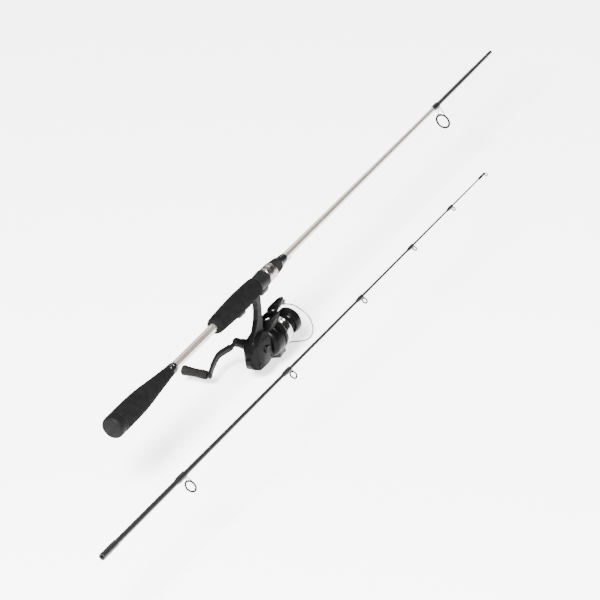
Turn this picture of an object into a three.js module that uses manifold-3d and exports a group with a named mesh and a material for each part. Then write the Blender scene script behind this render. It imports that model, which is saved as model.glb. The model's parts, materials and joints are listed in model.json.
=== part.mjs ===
// A two-piece spinning rod with its reel, taken apart for carrying: the butt section with the reel
// on it, and the tip section lying beside it.
// Millimetres. The origin is the middle of the butt cap's flat rear face. +X runs along the rod
// towards the tip, +Y is the side of the crank, +Z is up, and the reel hangs below the rod.
import * as THREE from "three";
import { mergeVertices } from "three/addons/utils/BufferGeometryUtils.js";
import Module from "manifold-3d";

const wasm = await Module();
wasm.setup();

// ---------- driving dimensions ----------
const SECTION_LENGTH = 940; // each rod section, end to end
const GAP = 0.3; // between pieces that touch
const TIP_REST = [-254, -141, 0]; // where the tip section lies beside the butt section
const SIDES = 20; // facets round an ordinary turned piece
const FINE_SIDES = 28; // facets round the spool and the rotor
const WIRE_SIDES = 6;

// Butt section, from the rear.
const CAP_LENGTH = 18;
const GRIP_RADIUS = 15.4;
const REAR_GRIP_END = 140;
const REAR_TRIM_END = 152;
const FORE_GRIP_START = 247;
const FORE_GRIP_END = 349;
const SEAT_FRONT = 351; // front of the seat's round body, behind the sliding hood
const HOOD_END = 371;
const NUT_RING_END = 389.6;
const NUT_END = 408;
const THREAD_END = 409;
const SLEEVE_END = 421;
const STRIPPER_FOOT = 793; // rear end of the stripper guide's winding
const FERRULE_STEP = 896; // where the male ferrule starts
const MALE_RADIUS = 2.5;
const SOCKET_RADIUS = 2.8;
const SOCKET_DEPTH = 48;

// Reel seat and reel foot.
const SEAT_RADIUS = 11.1;
const SEAT_FLAT_Z = -9.8; // the flat that the reel foot lies against
const THREAD_RADIUS = 7.2;
const FOOT_START = 305;
const FOOT_END = 365;
const FOOT_TOP = SEAT_FLAT_Z - GAP;
const FOOT_WIDTH = 13;

// Reel. Lengths along the rod are measured from the rod's origin.
const REEL_AXIS_Z = -88; // the spool's axis
const CRANK_AXIS = { x: 337, z: -83 };
const CRANK_REST = THREE.MathUtils.degToRad(152); // turns the crank arm rearwards and down
const CRANK_RADIUS = 53; // from the crank's axis to the knob's
const FOLD_Y = 31; // how far out the crank arm's fold pivot is
const ROTOR_REST = THREE.MathUtils.degToRad(84); // turn of the rotor's arms from level
const DRIVE_TEETH = 36;
const PINION_TEETH = 7;
const CAM_MODULE = 0.6;
const CAM_AXIS = { x: 327.5, z: -88.1 };
const CAM_PEG_RADIUS = 4.5; // half the spool's stroke
const BAIL_PIVOT_X = 385;
const ROLLER = { x: 419, z: -7 }; // the line roller's axis, seen along the bail's pivot
const SHAFT_RADIUS = 1.5;

// ---------- solids ----------
// The geometry as positions and triangles alone, with its seams closed and without the empty
// triangles a lathe leaves on its axis.
function bare(geometry) {
  const plain = geometry.index ? geometry.toNonIndexed() : geometry.clone();
  plain.deleteAttribute("normal");
  plain.deleteAttribute("uv");
  const merged = mergeVertices(plain, 1e-4);
  const corners = Array.from(merged.index.array);
  const kept = [];
  for (let i = 0; i < corners.length; i += 3) {
    const [a, b, c] = corners.slice(i, i + 3);
    if (a !== b && b !== c && c !== a) kept.push(a, b, c);
  }
  merged.setIndex(kept);
  return merged;
}

function toManifold(geometry) {
  const merged = bare(geometry);
  return new wasm.Manifold(
    new wasm.Mesh({
      numProp: 3,
      vertProperties: merged.attributes.position.array,
      triVerts: new Uint32Array(merged.index.array),
    }),
  );
}

function fromManifold(manifold) {
  const mesh = manifold.getMesh();
  const geometry = new THREE.BufferGeometry();
  geometry.setAttribute("position", new THREE.BufferAttribute(mesh.vertProperties, 3));
  geometry.setIndex(new THREE.BufferAttribute(mesh.triVerts, 1));
  return geometry;
}

function join(first, ...others) {
  const sum = others.reduce((total, g) => total.add(toManifold(g)), toManifold(first));
  return fromManifold(sum);
}

function cut(first, ...others) {
  const rest = others.reduce((total, g) => total.subtract(toManifold(g)), toManifold(first));
  return fromManifold(rest);
}

function common(first, ...others) {
  const rest = others.reduce((total, g) => total.intersect(toManifold(g)), toManifold(first));
  return fromManifold(rest);
}

// A turned piece about the X axis. The outline is a list of [x, radius] that starts and ends on
// the axis, or a ring's section whose last point joins back to its first.
function turned(outline, sides = SIDES) {
  const onAxis = outline[0][1] === 0 && outline[outline.length - 1][1] === 0;
  const loop = onAxis ? outline : [...outline, outline[0]];
  let area = 0;
  loop.forEach(([x, r], i) => {
    const [nextX, nextR] = loop[(i + 1) % loop.length];
    area += x * nextR - nextX * r;
  });
  const forward = area > 0 ? [...loop].reverse() : loop;
  const points = forward.map(([x, r]) => new THREE.Vector2(r, x));
  // The lathe turns about Y, so the piece is laid over onto X afterwards.
  return new THREE.LatheGeometry(points, sides).rotateZ(-Math.PI / 2);
}

// A tube or a ring between two lengths.
function tube(x0, x1, inner, outer, sides = SIDES) {
  return turned([[x0, inner], [x0, outer], [x1, outer], [x1, inner]], sides);
}

function rod(x0, x1, radius, sides = SIDES) {
  return turned([[x0, 0], [x0, radius], [x1, radius], [x1, 0]], sides);
}

// The same, along Y, about a point in the XZ plane.
function alongY(geometry, x, z) {
  return geometry.rotateZ(Math.PI / 2).translate(x, 0, z);
}

function box(x0, x1, y0, y1, z0, z1) {
  const middle = [(x0 + x1) / 2, (y0 + y1) / 2, (z0 + z1) / 2];
  return new THREE.BoxGeometry(x1 - x0, y1 - y0, z1 - z0).translate(...middle);
}

// A slab whose outline lies in the XY plane, from z0 to z1, with its edges bevelled.
function slab(outline, z0, z1, bevel = 0, bevelSteps = 1) {
  const shape = new THREE.Shape(outline.map(([x, y]) => new THREE.Vector2(x, y)));
  const geometry = new THREE.ExtrudeGeometry(shape, {
    depth: z1 - z0 - 2 * bevel,
    bevelEnabled: bevel > 0,
    bevelThickness: bevel,
    bevelSize: bevel,
    bevelOffset: -bevel,
    bevelSegments: bevelSteps,
  });
  return geometry.translate(0, 0, z0 + bevel);
}

// The same with its outline in the XZ plane, from y0 to y1.
function plate(outline, y0, y1, bevel = 0, bevelSteps = 1) {
  return slab(outline, -y1, -y0, bevel, bevelSteps).rotateX(Math.PI / 2);
}

// The same with its outline in the YZ plane, from x0 to x1.
function beam(outline, x0, x1) {
  return slab(outline, x0, x1).rotateX(Math.PI / 2).rotateZ(Math.PI / 2);
}

// A round wire along a smooth curve through the points.
function wire(points, radius, steps, sides = WIRE_SIDES) {
  const path = new THREE.CatmullRomCurve3(points.map((p) => new THREE.Vector3(...p)));
  const section = new THREE.Shape();
  section.absarc(0, 0, radius, 0, 2 * Math.PI, false);
  return new THREE.ExtrudeGeometry(section, {
    steps,
    curveSegments: sides / 2,
    bevelEnabled: false,
    extrudePath: path,
  });
}

// ---------- finishes ----------
function finish(colour, roughness, metalness = 0) {
  return new THREE.MeshStandardMaterial({ color: colour, roughness, metalness });
}

const foam = finish(0x2b2b2c, 0.95);
const capRubber = finish(0x3a3a3b, 0.8);
const silverLacquer = finish(0xb9b4ac, 0.3, 0.7);
const glossBlack = finish(0x141414, 0.2);
const carbonBlack = finish(0x1d1c1c, 0.3);
const seatBlack = finish(0x202021, 0.4);
const satinSilver = finish(0xc4bdb9, 0.35, 0.9);
const reelGrey = finish(0x3c3c3a, 0.5, 0.2);
const rotorGrey = finish(0x30302f, 0.4, 0.2);
const darkTrim = finish(0x252523, 0.35, 0.2);
const polished = finish(0xd8d8d8, 0.12, 1.0);
const wireBrown = finish(0x5c5651, 0.35, 0.9);
const crankGrey = finish(0x4a4a49, 0.4, 0.6);
const knobGrey = finish(0x3b3a38, 0.75);
const steel = finish(0x9a9a9a, 0.3, 1.0);
const brass = finish(0xb08d4a, 0.35, 1.0);
const ceramic = finish(0x35302d, 0.25);
const felt = finish(0x6b6a66, 0.9);

const model = new THREE.Group();
const reel = new THREE.Group();
reel.position.z = REEL_AXIS_Z;
const rotorFrame = new THREE.Group(); // local Y runs to the roller arm, local Z across it
rotorFrame.rotation.x = ROTOR_REST;
reel.add(rotorFrame);
const crankFrame = new THREE.Group(); // local X runs along the crank arm
crankFrame.position.set(CRANK_AXIS.x, 0, CRANK_AXIS.z);
crankFrame.rotation.y = CRANK_REST;
const tipSection = new THREE.Group();
tipSection.position.set(...TIP_REST);
model.add(reel, crankFrame, tipSection);

function add(group, name, geometry, material) {
  const mesh = new THREE.Mesh(geometry, material);
  mesh.name = name;
  group.add(mesh);
}

// ---------- butt section ----------
// The butt blank's outer radius at points along it, up to the step of the male ferrule.
const BUTT_TAPER = [
  [15, 5.9], [250, 5.85], [380, 5.3], [500, 4.4], [650, 3.6], [770, 3], [FERRULE_STEP, 2.75],
];

function buttBlank() {
  const ferrule = [[FERRULE_STEP + 0.5, MALE_RADIUS], [SECTION_LENGTH, MALE_RADIUS - 0.05]];
  const bore = [[SECTION_LENGTH, 1.3], [650, 2.1], [380, 3.7], [15, 4.4]];
  return turned([...BUTT_TAPER, ...ferrule, ...bore], 20);
}

function buttCap() {
  const outside = [[0, 0], [0, 12.2], [1.2, 14.2], [3.6, GRIP_RADIUS], [CAP_LENGTH, GRIP_RADIUS]];
  const socket = [[CAP_LENGTH, 6.2], [14.6, 6.2], [14.6, 0]];
  return turned([...outside, ...socket]);
}

function rearGrip() {
  const start = CAP_LENGTH + GAP;
  const outside = [
    [start, GRIP_RADIUS], [45, 15.2], [60, 14.8], [72, 14.1], [84, 13], [96, 11.7],
    [110, 10.3], [124, 8.9], [136, 7.8], [REAR_GRIP_END, 7.3],
  ];
  return turned([...outside, [REAR_GRIP_END, 6.2], [start, 6.2]]);
}

function rearGripTrim() {
  const start = REAR_GRIP_END + GAP;
  const outside = [[start, 7.4], [REAR_TRIM_END - 3, 7.2], [REAR_TRIM_END, 6.6]];
  return turned([...outside, [REAR_TRIM_END, 6.2], [start, 6.2]]);
}

function foreGrip() {
  const bore = SEAT_RADIUS + GAP;
  const start = FORE_GRIP_START;
  const outside = [
    [start, 8], [start + 2, 10], [start + 7, 11.4], [262, 11.9], [284, 12.8], [308, 13.4],
    [330, 13], [346, 12.2], [FORE_GRIP_END, 11.9],
  ];
  const inside = [[FORE_GRIP_END, bore], [261, bore], [261, 6.2], [start, 6.2]];
  const slot = box(291, FORE_GRIP_END + 1, -8.4, 8.4, -20, -6);
  return cut(turned([...outside, ...inside], FINE_SIDES), slot);
}

// The seat's tube, with a flat for the reel foot, a fixed hood over the foot's rear toe, and the
// lock nut's thread in front. The bore narrows in front, where the blank is slimmer.
function reelSeat() {
  const bore = 7.1;
  const outside = [
    [261.6, 10.6], [264, SEAT_RADIUS], [SEAT_FRONT, SEAT_RADIUS], [SEAT_FRONT, THREAD_RADIUS],
    [THREAD_END, THREAD_RADIUS],
  ];
  const inside = [[THREAD_END, 5.8], [348, 5.9], [346, bore], [261.6, bore]];
  const footFlat = box(FOOT_START + 7, SEAT_FRONT + 1, -12, 12, -20, SEAT_FLAT_Z);
  const hood = box(292.5, FOOT_START + 7, -7.9, 7.9, -15, -8.2);
  const pocketHalf = FOOT_WIDTH / 2 + GAP;
  const toePocket = box(FOOT_START - 1, FOOT_START + 8, -pocketHalf, pocketHalf, -13.4, SEAT_FLAT_Z);
  return cut(join(cut(turned([...outside, ...inside]), footFlat), hood), toePocket);
}

// The tube that centres the seat on the blank.
function seatArbor() {
  return tube(264, 345, 6.15, 6.8);
}

// The hood over the foot's front toe. Its front edge has a raised rim.
function slidingHood() {
  const bore = THREAD_RADIUS + GAP;
  const start = SEAT_FRONT + GAP;
  const ring = turned([
    [start, bore], [start, 10.4], [start + 1.2, 10.9], [HOOD_END - 3.6, 10.9], [HOOD_END - 3, 11.5],
    [HOOD_END - 0.6, 11.5], [HOOD_END, 11], [HOOD_END, bore],
  ]);
  const lobe = plate([
    [start, -14.6], [HOOD_END - 4, -14.6], [HOOD_END - 2, -12.4], [HOOD_END - 2, -8.6], [start, -8.6],
  ], -7.6, 7.6, 0.8);
  const pocketHalf = FOOT_WIDTH / 2 + GAP;
  const pocket = box(start - 1, FOOT_END + 1, -pocketHalf, pocketHalf, -13.2, -9.6);
  return cut(join(ring, lobe), pocket);
}

function lockNutRing() {
  const start = HOOD_END + GAP;
  return turned([
    [start, THREAD_RADIUS + GAP], [start, 10.7], [start + 0.8, 11.1], [NUT_RING_END - 0.8, 10.8],
    [NUT_RING_END, 10.3], [NUT_RING_END, THREAD_RADIUS + GAP],
  ]);
}

function lockNut() {
  const bore = THREAD_RADIUS + GAP;
  const start = NUT_RING_END + GAP;
  return turned([
    [start, bore], [start, 9.2], [start + 1.4, 9.7], [398, 9.4], [403.6, 8.8], [405.4, 8.4],
    [NUT_END, 8], [NUT_END, bore],
  ]);
}

function frontSleeve() {
  const start = THREAD_END + GAP;
  return turned([[start, 6.9], [413, 6.7], [418, 6.1], [SLEEVE_END, 5.8], [SLEEVE_END, 5.4], [start, 5.6]]);
}

// A small wire loop under the blank that a hook hangs on.
function hookKeeper() {
  const top = -6;
  return wire([
    [424, 0, top], [427.5, 0, top], [429.5, 0, top - 2], [432.5, 0, top - 3.4],
    [435.5, 0, top - 2], [437.5, 0, top], [441, 0, top],
  ], 0.6, 16);
}

// ---------- line guides ----------
// A guide's foot is bound to the blank, two wire legs spread from its front end, and they carry
// a round ring. foot is the winding's rear end, span its length, reach how far the ring stands
// ahead of it, drop the ring's centre below the blank's axis, and blank the blank's radius there.
const STRIPPER = { foot: STRIPPER_FOOT, span: 13, reach: 6, drop: 29, ring: 10.8, wire: 0.65, blank: 2.98 };
const TIP_GUIDES = [
  { foot: 177, span: 21, reach: 8.4, drop: 23.4, ring: 9.1, wire: 0.6, blank: 3.48 },
  { foot: 436, span: 18, reach: 4.8, drop: 12.9, ring: 6.1, wire: 0.5, blank: 2.3 },
  { foot: 617, span: 15, reach: 3, drop: 9.2, ring: 4.6, wire: 0.42, blank: 1.72 },
  { foot: 744, span: 13, reach: 2.8, drop: 6.7, ring: 3.6, wire: 0.38, blank: 1.42 },
  { foot: 842, span: 13, reach: 2.6, drop: 6, ring: 3.3, wire: 0.36, blank: 1.18 },
];
const RING_GAP = 0.2;
const WINDING_DEPTH = 1.15; // thickness of thread and resin over the blank

// Thread and clear resin wound over the guide's foot, which lies in a tunnel under them.
function guideWinding({ foot, span, wire: thick, blank }) {
  const inner = blank + 0.25;
  const outer = blank + WINDING_DEPTH;
  const end = foot + span;
  const skin = turned([
    [foot, inner], [foot + 2, blank + 0.6], [foot + 5, outer], [end - 1, outer],
    [end, outer - 0.4], [end, inner],
  ], 16);
  const half = thick + GAP;
  return cut(skin, box(foot + 4.5, end + 1, -half, half, -blank - 0.85, -blank));
}

function guideFrame({ foot, span, reach, drop, ring, wire: thick, blank }) {
  const apex = foot + span + 1;
  const footZ = -blank - 0.28 - thick * 0.9;
  const centreX = foot + span + reach;
  const base = box(foot + 5, apex, -thick, thick, -blank - 0.65, -blank - 0.28);
  const spread = THREE.MathUtils.degToRad(38); // where each leg meets the hoop, from its top
  const middle = ring - thick;
  const legs = [-1, 1].map((side) => wire([
    [apex - thick, 0, footZ],
    [(apex + centreX) / 2, side * middle * 0.3, (footZ - drop + middle) / 2],
    [centreX, side * middle * Math.sin(spread), middle * Math.cos(spread) - drop],
  ], thick * 0.9, 4));
  const hoop = new THREE.TorusGeometry(middle, thick, WIRE_SIDES, 18).rotateY(Math.PI / 2);
  return join(hoop.translate(centreX, 0, -drop), base, ...legs);
}

// The hard ring that lines the frame's hoop.
function guideRing({ foot, span, reach, drop, ring, wire: thick }) {
  const x = foot + span + reach;
  const outer = ring - 2 * thick - RING_GAP;
  const inner = outer - 0.45 - 0.02 * ring;
  return turned([
    [x - thick, outer], [x - thick, inner + 0.15], [x, inner], [x + thick, inner + 0.15], [x + thick, outer],
  ], 18).translate(0, 0, -drop);
}

function addGuide(group, name, guide) {
  add(group, name + "_winding", guideWinding(guide), glossBlack);
  add(group, name + "_frame", guideFrame(guide), darkTrim);
  add(group, name + "_ring", guideRing(guide), ceramic);
}

// ---------- tip section ----------
const BLANK_TIP = SECTION_LENGTH - 6; // where the blank ends, inside the tip-top

// The blank is open at the rear, where it slips over the butt section's male ferrule.
function tipBlank() {
  const outside = [
    [0, 4.05], [52, 3.85], [142, 3.6], [210, 3.3], [324, 2.8], [463, 2.15], [556, 1.9],
    [649, 1.6], [720, 1.45], [814, 1.25], [BLANK_TIP, 0.9], [BLANK_TIP, 0],
  ];
  const socket = [[500, 0], [SOCKET_DEPTH + 4, 2.4], [SOCKET_DEPTH, SOCKET_RADIUS], [0, SOCKET_RADIUS]];
  return turned([...socket, ...outside]);
}

function ferruleWinding() {
  return turned([[0.4, 4.3], [1.2, 4.7], [30, 4.7], [34, 4.35], [34, 4.25]], 20);
}

const TIP_TOP = { start: BLANK_TIP - 12, end: BLANK_TIP + 2, middle: SECTION_LENGTH - 0.6, ring: 2.9, drop: 3.6, wire: 0.4 };

function tipTopFrame() {
  const { start, end, middle, ring, drop, wire: thick } = TIP_TOP;
  const bore = [[BLANK_TIP + 0.3, 0], [BLANK_TIP + 0.3, 1.2], [start, 1.28]];
  const sleeve = turned([...bore, [start, 1.6], [end, 1.5], [end, 0]], 14);
  const hoop = new THREE.TorusGeometry(ring - thick, thick, WIRE_SIDES, 14).rotateY(Math.PI / 2);
  const ends = [[1.7, -drop + 1.8], [0, -drop + ring - thick], [-1.7, -drop + 1.8]];
  const legs = ends.map(([y, z]) => wire([
    [end - 0.8, y * 0.4, -0.2],
    [(end + middle) / 2, y * 0.75, z * 0.4],
    [middle, y, z],
  ], thick * 0.95, 4));
  return join(hoop.translate(middle, 0, -drop), sleeve, ...legs);
}

function tipTopRing() {
  const { middle, ring, drop, wire: thick } = TIP_TOP;
  const outer = ring - 2 * thick - RING_GAP;
  return turned([
    [middle - 0.4, outer], [middle - 0.4, outer - 0.3], [middle, outer - 0.45],
    [middle + 0.4, outer - 0.3], [middle + 0.4, outer],
  ], 14).translate(0, 0, -drop);
}

// ---------- reel housing ----------
// The gearbox and its cavity, each seen from the side (XZ), from above (XY) and from behind (YZ).
const HOUSING_LEFT = 12.4; // outer face of the housing on the crank's side
const HOUSING_RIGHT = -13.4; // outer face of the side cover
const COVER_SPLIT = -9.4;
const GEARBOX = {
  side: [
    [350.5, -65], [350.5, -99], [347, -103], [338, -105.5], [324, -105], [316.5, -101],
    [313, -94.5], [312.5, -86], [315, -78], [321, -71], [331, -65], [342, -61.5],
  ],
  above: [
    [360, HOUSING_LEFT], [332, HOUSING_LEFT], [322, 10.8], [315.5, 7.4], [312.4, 2.5],
    [312.4, -2.5], [315.5, -7.4], [322, -11.2], [332, HOUSING_RIGHT], [360, HOUSING_RIGHT],
  ],
  behind: [
    [HOUSING_LEFT, -120], [HOUSING_LEFT, -77], [6.5, -60.5], [-6.5, -60.5], [HOUSING_RIGHT, -77],
    [HOUSING_RIGHT, -120],
  ],
};
const CAVITY = {
  side: [
    [348.9, -68.5], [348.9, -98.3], [346, -101.4], [337.6, -103.4], [324.6, -103], [318.2, -99.6],
    [315.2, -94], [314.8, -86.5], [317, -79.3], [322.5, -73], [332, -67.4], [341, -65],
  ],
  above: [
    [360, 8.8], [321.6, 8.8], [317.2, 6.2], [314.4, 1.8], [314.4, -1.8], [317.2, -6.2],
    [321, -9.4], [321, -10], [360, -10],
  ],
  behind: [[8.8, -120], [8.8, -70.4], [6, -65.5], [-6, -65.5], [-10, -71], [-10, -120]],
};
const STEM = [
  [341, -11.5], [350.6, -11.5], [350.6, -15.2], [354.6, -15.6], [353.4, -24], [352.6, -36],
  [350.5, -48], [350.5, -66], [322, -72], [327, -63.5], [333.5, -54], [339.4, -44], [342.6, -32],
  [343, -22], [340.6, -15],
];

// The gearbox or its cavity, as what its three views share.
function threeViews({ side, above, behind }, bevel = 0) {
  const block = plate(side, HOUSING_RIGHT, HOUSING_LEFT, bevel, 2);
  return common(block, slab(above, -125, -50), beam(behind, 300, 365));
}

// The foot and the stem, which stand on the gearbox and hold it to the seat.
function reelLeg() {
  const foot = plate([
    [FOOT_START, FOOT_TOP], [FOOT_END, FOOT_TOP], [FOOT_END, -12.2], [FOOT_END - 12, -12.9],
    [FOOT_START + 12, -12.9], [FOOT_START, -12.2],
  ], -FOOT_WIDTH / 2, FOOT_WIDTH / 2);
  return join(plate(STEM, -3.4, 3.4, 1.4), foot);
}

function reelBody() {
  const collar = rod(350, 359, 8).translate(0, 0, REEL_AXIS_Z);
  const { x, z } = CRANK_AXIS;
  const crankCollar = alongY(rod(HOUSING_LEFT - 2, 14.6, 7.6), x, z);
  const open = box(300, 370, -40, COVER_SPLIT, -125, -60.5);
  const crankBore = alongY(rod(8, 15, 4.9), x, z);
  const bearingBore = rod(354.6, 360, 5.4).translate(0, 0, REEL_AXIS_Z);
  const pinionBore = rod(345, 356, 3.6).translate(0, 0, REEL_AXIS_Z);
  const outside = join(threeViews(GEARBOX, 3), collar, crankCollar, reelLeg());
  return cut(outside, open, threeViews(CAVITY), crankBore, bearingBore, pinionBore);
}

function sideCover() {
  const rest = box(300, 370, COVER_SPLIT - GAP, 40, -125, -50);
  const bearingBore = alongY(rod(-20, 0, 4.9), CRANK_AXIS.x, CRANK_AXIS.z);
  const camBore = alongY(rod(-11.6, 0, 1.5, 12), CAM_AXIS.x, CAM_AXIS.z);
  return cut(threeViews(GEARBOX, 3), rest, bearingBore, camBore);
}

// The guard that wraps the housing's lower rear corner.
function rearCover() {
  const side = [
    [340, -108.2], [323, -107.6], [314.6, -103.2], [310.4, -95.2], [310, -87], [312.1, -87],
    [312.6, -94.7], [316.2, -101.35], [323.9, -105.4], [338, -105.9], [340, -105.6],
  ];
  const above = [
    [345, 9.5], [324, 9.5], [316, 6.8], [309, 3], [309, -3], [316, -6.8], [324, -9.5], [345, -9.5],
  ];
  return common(plate(side, -12, 12), slab(above, -125, -50));
}

// The round cap over the crank's bearing, on the side away from the crank.
function axleCap() {
  const start = HOUSING_RIGHT - GAP;
  const cap = turned([[start - 2.8, 0], [start - 2.8, 3.8], [start - 2, 5.2], [start, 5.7], [start, 0]]);
  return alongY(cap, CRANK_AXIS.x, CRANK_AXIS.z);
}

function bearingRing(start, end, inner, outer) {
  return tube(start, end, inner, outer, 20);
}

// ---------- drive train ----------
// Points of one involute gear in the XZ plane, a little slack so that it runs freely. first is
// the direction of the middle of one tooth.
function gearOutline(teeth, module, first) {
  const pitch = (teeth * module) / 2;
  const pressure = THREE.MathUtils.degToRad(25);
  const base = pitch * Math.cos(pressure);
  const slack = 0.11; // off each flank, along the pitch circle
  const involute = (radius) => {
    const angle = Math.acos(Math.min(1, base / radius));
    return Math.tan(angle) - angle;
  };
  const halfAtPitch = Math.PI / (2 * teeth) - slack / pitch;
  const root = pitch - module;
  const radii = [root, pitch - 0.35 * module, pitch, pitch + 0.7 * module];
  const flank = radii.map((radius) => {
    const reach = Math.max(radius, base);
    return [radius, halfAtPitch + involute(pitch) - involute(reach)];
  });
  const outline = [];
  for (let i = 0; i < teeth; i++) {
    const middle = first + (i * 2 * Math.PI) / teeth;
    const rising = flank.map(([radius, half]) => [radius, middle - half]);
    const falling = [...flank].reverse().map(([radius, half]) => [radius, middle + half]);
    for (const [radius, angle] of [...rising, ...falling]) {
      outline.push([radius * Math.cos(angle), radius * Math.sin(angle)]);
    }
  }
  return outline;
}

// From the crank's axis towards the cam wheel's.
const CAM_DIRECTION = Math.atan2(CAM_AXIS.z - CRANK_AXIS.z, CAM_AXIS.x - CRANK_AXIS.x);
const CAM_PINION_TEETH = 12;
const CAM_TEETH = 24;
const CAM_Y = [-8.2, -6.2]; // both faces of the two cam wheels

// Straight ridges stand on the drive gear's face. Each one lies along the pinion as it comes
// past, because the pinion's axis runs beside the gear's.
function driveGear() {
  const disc = alongY(rod(4.9, 6.9, 11.4, 36), 0, 0);
  const hub = alongY(rod(4.6, 8.4, 4), 0, 0);
  const shaft = alongY(rod(-12.6, 17.6, 2.4), 0, 0);
  const camPinion = plate(gearOutline(CAM_PINION_TEETH, CAM_MODULE, CAM_DIRECTION), ...CAM_Y);
  const beside = REEL_AXIS_Z - CRANK_AXIS.z;
  const ridges = Array.from({ length: DRIVE_TEETH }, (_, i) => {
    const ridge = box(6.5, 10, 2.8, 5.1, beside - 0.3, beside + 0.3);
    return ridge.rotateY((i * 2 * Math.PI) / DRIVE_TEETH);
  });
  const gear = join(disc, hub, shaft, camPinion, ...ridges);
  return gear.translate(CRANK_AXIS.x, 0, CRANK_AXIS.z);
}

// The small wheel that the drive gear turns, with its teeth behind and a long sleeve that
// carries the rotor.
function pinion() {
  const sleeve = turned([
    [343.4, 1.75], [343.4, 2.15], [349.4, 2.15], [350, 3], [369, 3], [369, 1.75],
  ], 20);
  const teeth = Array.from({ length: PINION_TEETH }, (_, i) => {
    const tooth = box(343.4, 349.4, -0.35, 0.35, 1.9, 2.6);
    return tooth.rotateX(((i + 0.5) * 2 * Math.PI) / PINION_TEETH);
  });
  return join(sleeve, ...teeth);
}

// The cam wheel that drives the spool to and fro. Its peg reaches towards the slider's groove.
function camWheel() {
  const behind = CAM_DIRECTION + Math.PI;
  const wheel = plate(gearOutline(CAM_TEETH, CAM_MODULE, behind + Math.PI / CAM_TEETH), ...CAM_Y);
  const axle = alongY(rod(-11.2, -7, 1.2, 12), 0, 0);
  const peg = alongY(rod(-7, -5.3, 0.8, 12), -CAM_PEG_RADIUS, 0);
  return join(wheel, axle, peg).translate(CAM_AXIS.x, 0, CAM_AXIS.z);
}

// The block on the main shaft's rear end, with an upright groove for the cam wheel's peg.
function slider() {
  const x = CAM_AXIS.x - CAM_PEG_RADIUS;
  const block = box(x - 2.3, x + 2.3, -5, 2.3, -95.4, -84.6);
  const groove = box(x - 1.1, x + 1.1, -6, -3.2, -94.4, -80);
  const bore = rod(300, 340, SHAFT_RADIUS + 0.2, 16).translate(0, 0, REEL_AXIS_Z);
  return cut(block, groove, bore);
}

// ---------- rotor and bail ----------
// These are drawn with Y along the bail's pivot, from the middle towards the line roller, and
// with Z across it.
function rotor() {
  const bowl = turned([
    [351.2, 9.4], [351.2, 17.5], [354, 20.4], [358, 21], [370, 21], [370, 16.8], [383, 16.6],
    [383, 15], [366, 15], [366, 3.3], [361, 3.3], [361, 9.4],
  ], FINE_SIDES);
  // The arms lean outwards from the bowl. The one for the roller is longer, with a window in it.
  const lean = turned([[350, 0], [350, 20.5], [356, 22.5], [362, 26], [367, 29.8], [395, 29.8], [395, 0]], FINE_SIDES);
  const skirtRoom = rod(370.6, 400, 21.6, FINE_SIDES);
  const rollerArm = plate([
    [353, -7.5], [353, 7.5], [357, 10.5], [366, 11.3], [378, 9.2], [388, 6.4], [391, 3.5],
    [391, -6], [389, -11], [384, -12], [366, -11.6], [357, -10.5],
  ], 17, 26.8, 1.2, 2);
  const window = plate([[367, -8.4], [380.6, -8.8], [380.6, 3.8], [367, 5.8]], 10, 40);
  const holderArm = plate([
    [353, -7.5], [353, 7.5], [357, 10], [366, 10.4], [376, 8], [385, 5.2], [389.5, 2.5],
    [389.5, -2.5], [385, -5.2], [376, -8], [366, -10.4], [357, -10],
  ], -26.8, -17, 1.2, 2);
  const pivotBores = [23, -40].map((start) => alongY(rod(start, start + 17, 1.6, 12), BAIL_PIVOT_X, 0));
  const arms = [cut(rollerArm, window), holderArm].map((arm) => cut(common(arm, lean), skirtRoom, ...pivotBores));
  return join(bowl, ...arms);
}

function rotorNut() {
  return cut(rod(366.3, 368.8, 5.6, 6), rod(360, 375, 3.3));
}

// The lever that swings the bail. Its deeper front end carries the line roller on a pin.
function bailArm() {
  const pivot = alongY(rod(23.6, 28, 1.3, 12), BAIL_PIVOT_X, 0);
  const lever = plate([
    [380.6, -2], [382, -6], [386, -10.4], [393, -12.3], [405, -12.5], [405, -1.4], [396, 2.6],
    [389, 4], [384, 4.4], [381, 2.4],
  ], 27.1, 30, 0.7);
  const block = plate([
    [401, -12.5], [414.6, -11.8], [419.6, -9.6], [420.4, -6], [418, -4.6], [409, -2], [401, 0.3],
  ], 24.1, 30, 1.2);
  const pin = alongY(rod(19.4, 25, 1.1, 12), ROLLER.x, ROLLER.z);
  return join(lever, pivot, block, pin);
}

function lineRoller() {
  const outline = [[19.6, 1.4], [19.6, 3.2], [21.2, 2.6], [22.3, 2.6], [23.9, 3.2], [23.9, 1.4]];
  return alongY(turned(outline, 20), ROLLER.x, ROLLER.z);
}

const BAIL_WIRE_END = { y: -28.6, z: -3.4 }; // where the wire enters its holder

function bailWire() {
  const { x, z } = ROLLER;
  const boss = alongY(rod(18.2, 19.3, 2.4, 16), x, z);
  const { y: endY, z: endZ } = BAIL_WIRE_END;
  const bow = wire([
    [x, 18.7, z + 1], [419.8, 18.6, -2], [419.8, 18.8, 2], [419.2, 18.6, 7], [417.6, 17.2, 14], [415.7, 13.2, 23],
    [414.5, 7.5, 30], [413.4, -1, 33.6], [412.3, -10, 33.9], [410.4, -18.6, 30.6], [409, -24.4, 23.4],
    [408, -27, 15], [406, -27.6, 5], [403, -28, -1.4], [397, endY, endZ], [389, endY, endZ],
  ], 0.8, 34);
  return join(boss, bow);
}

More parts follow.
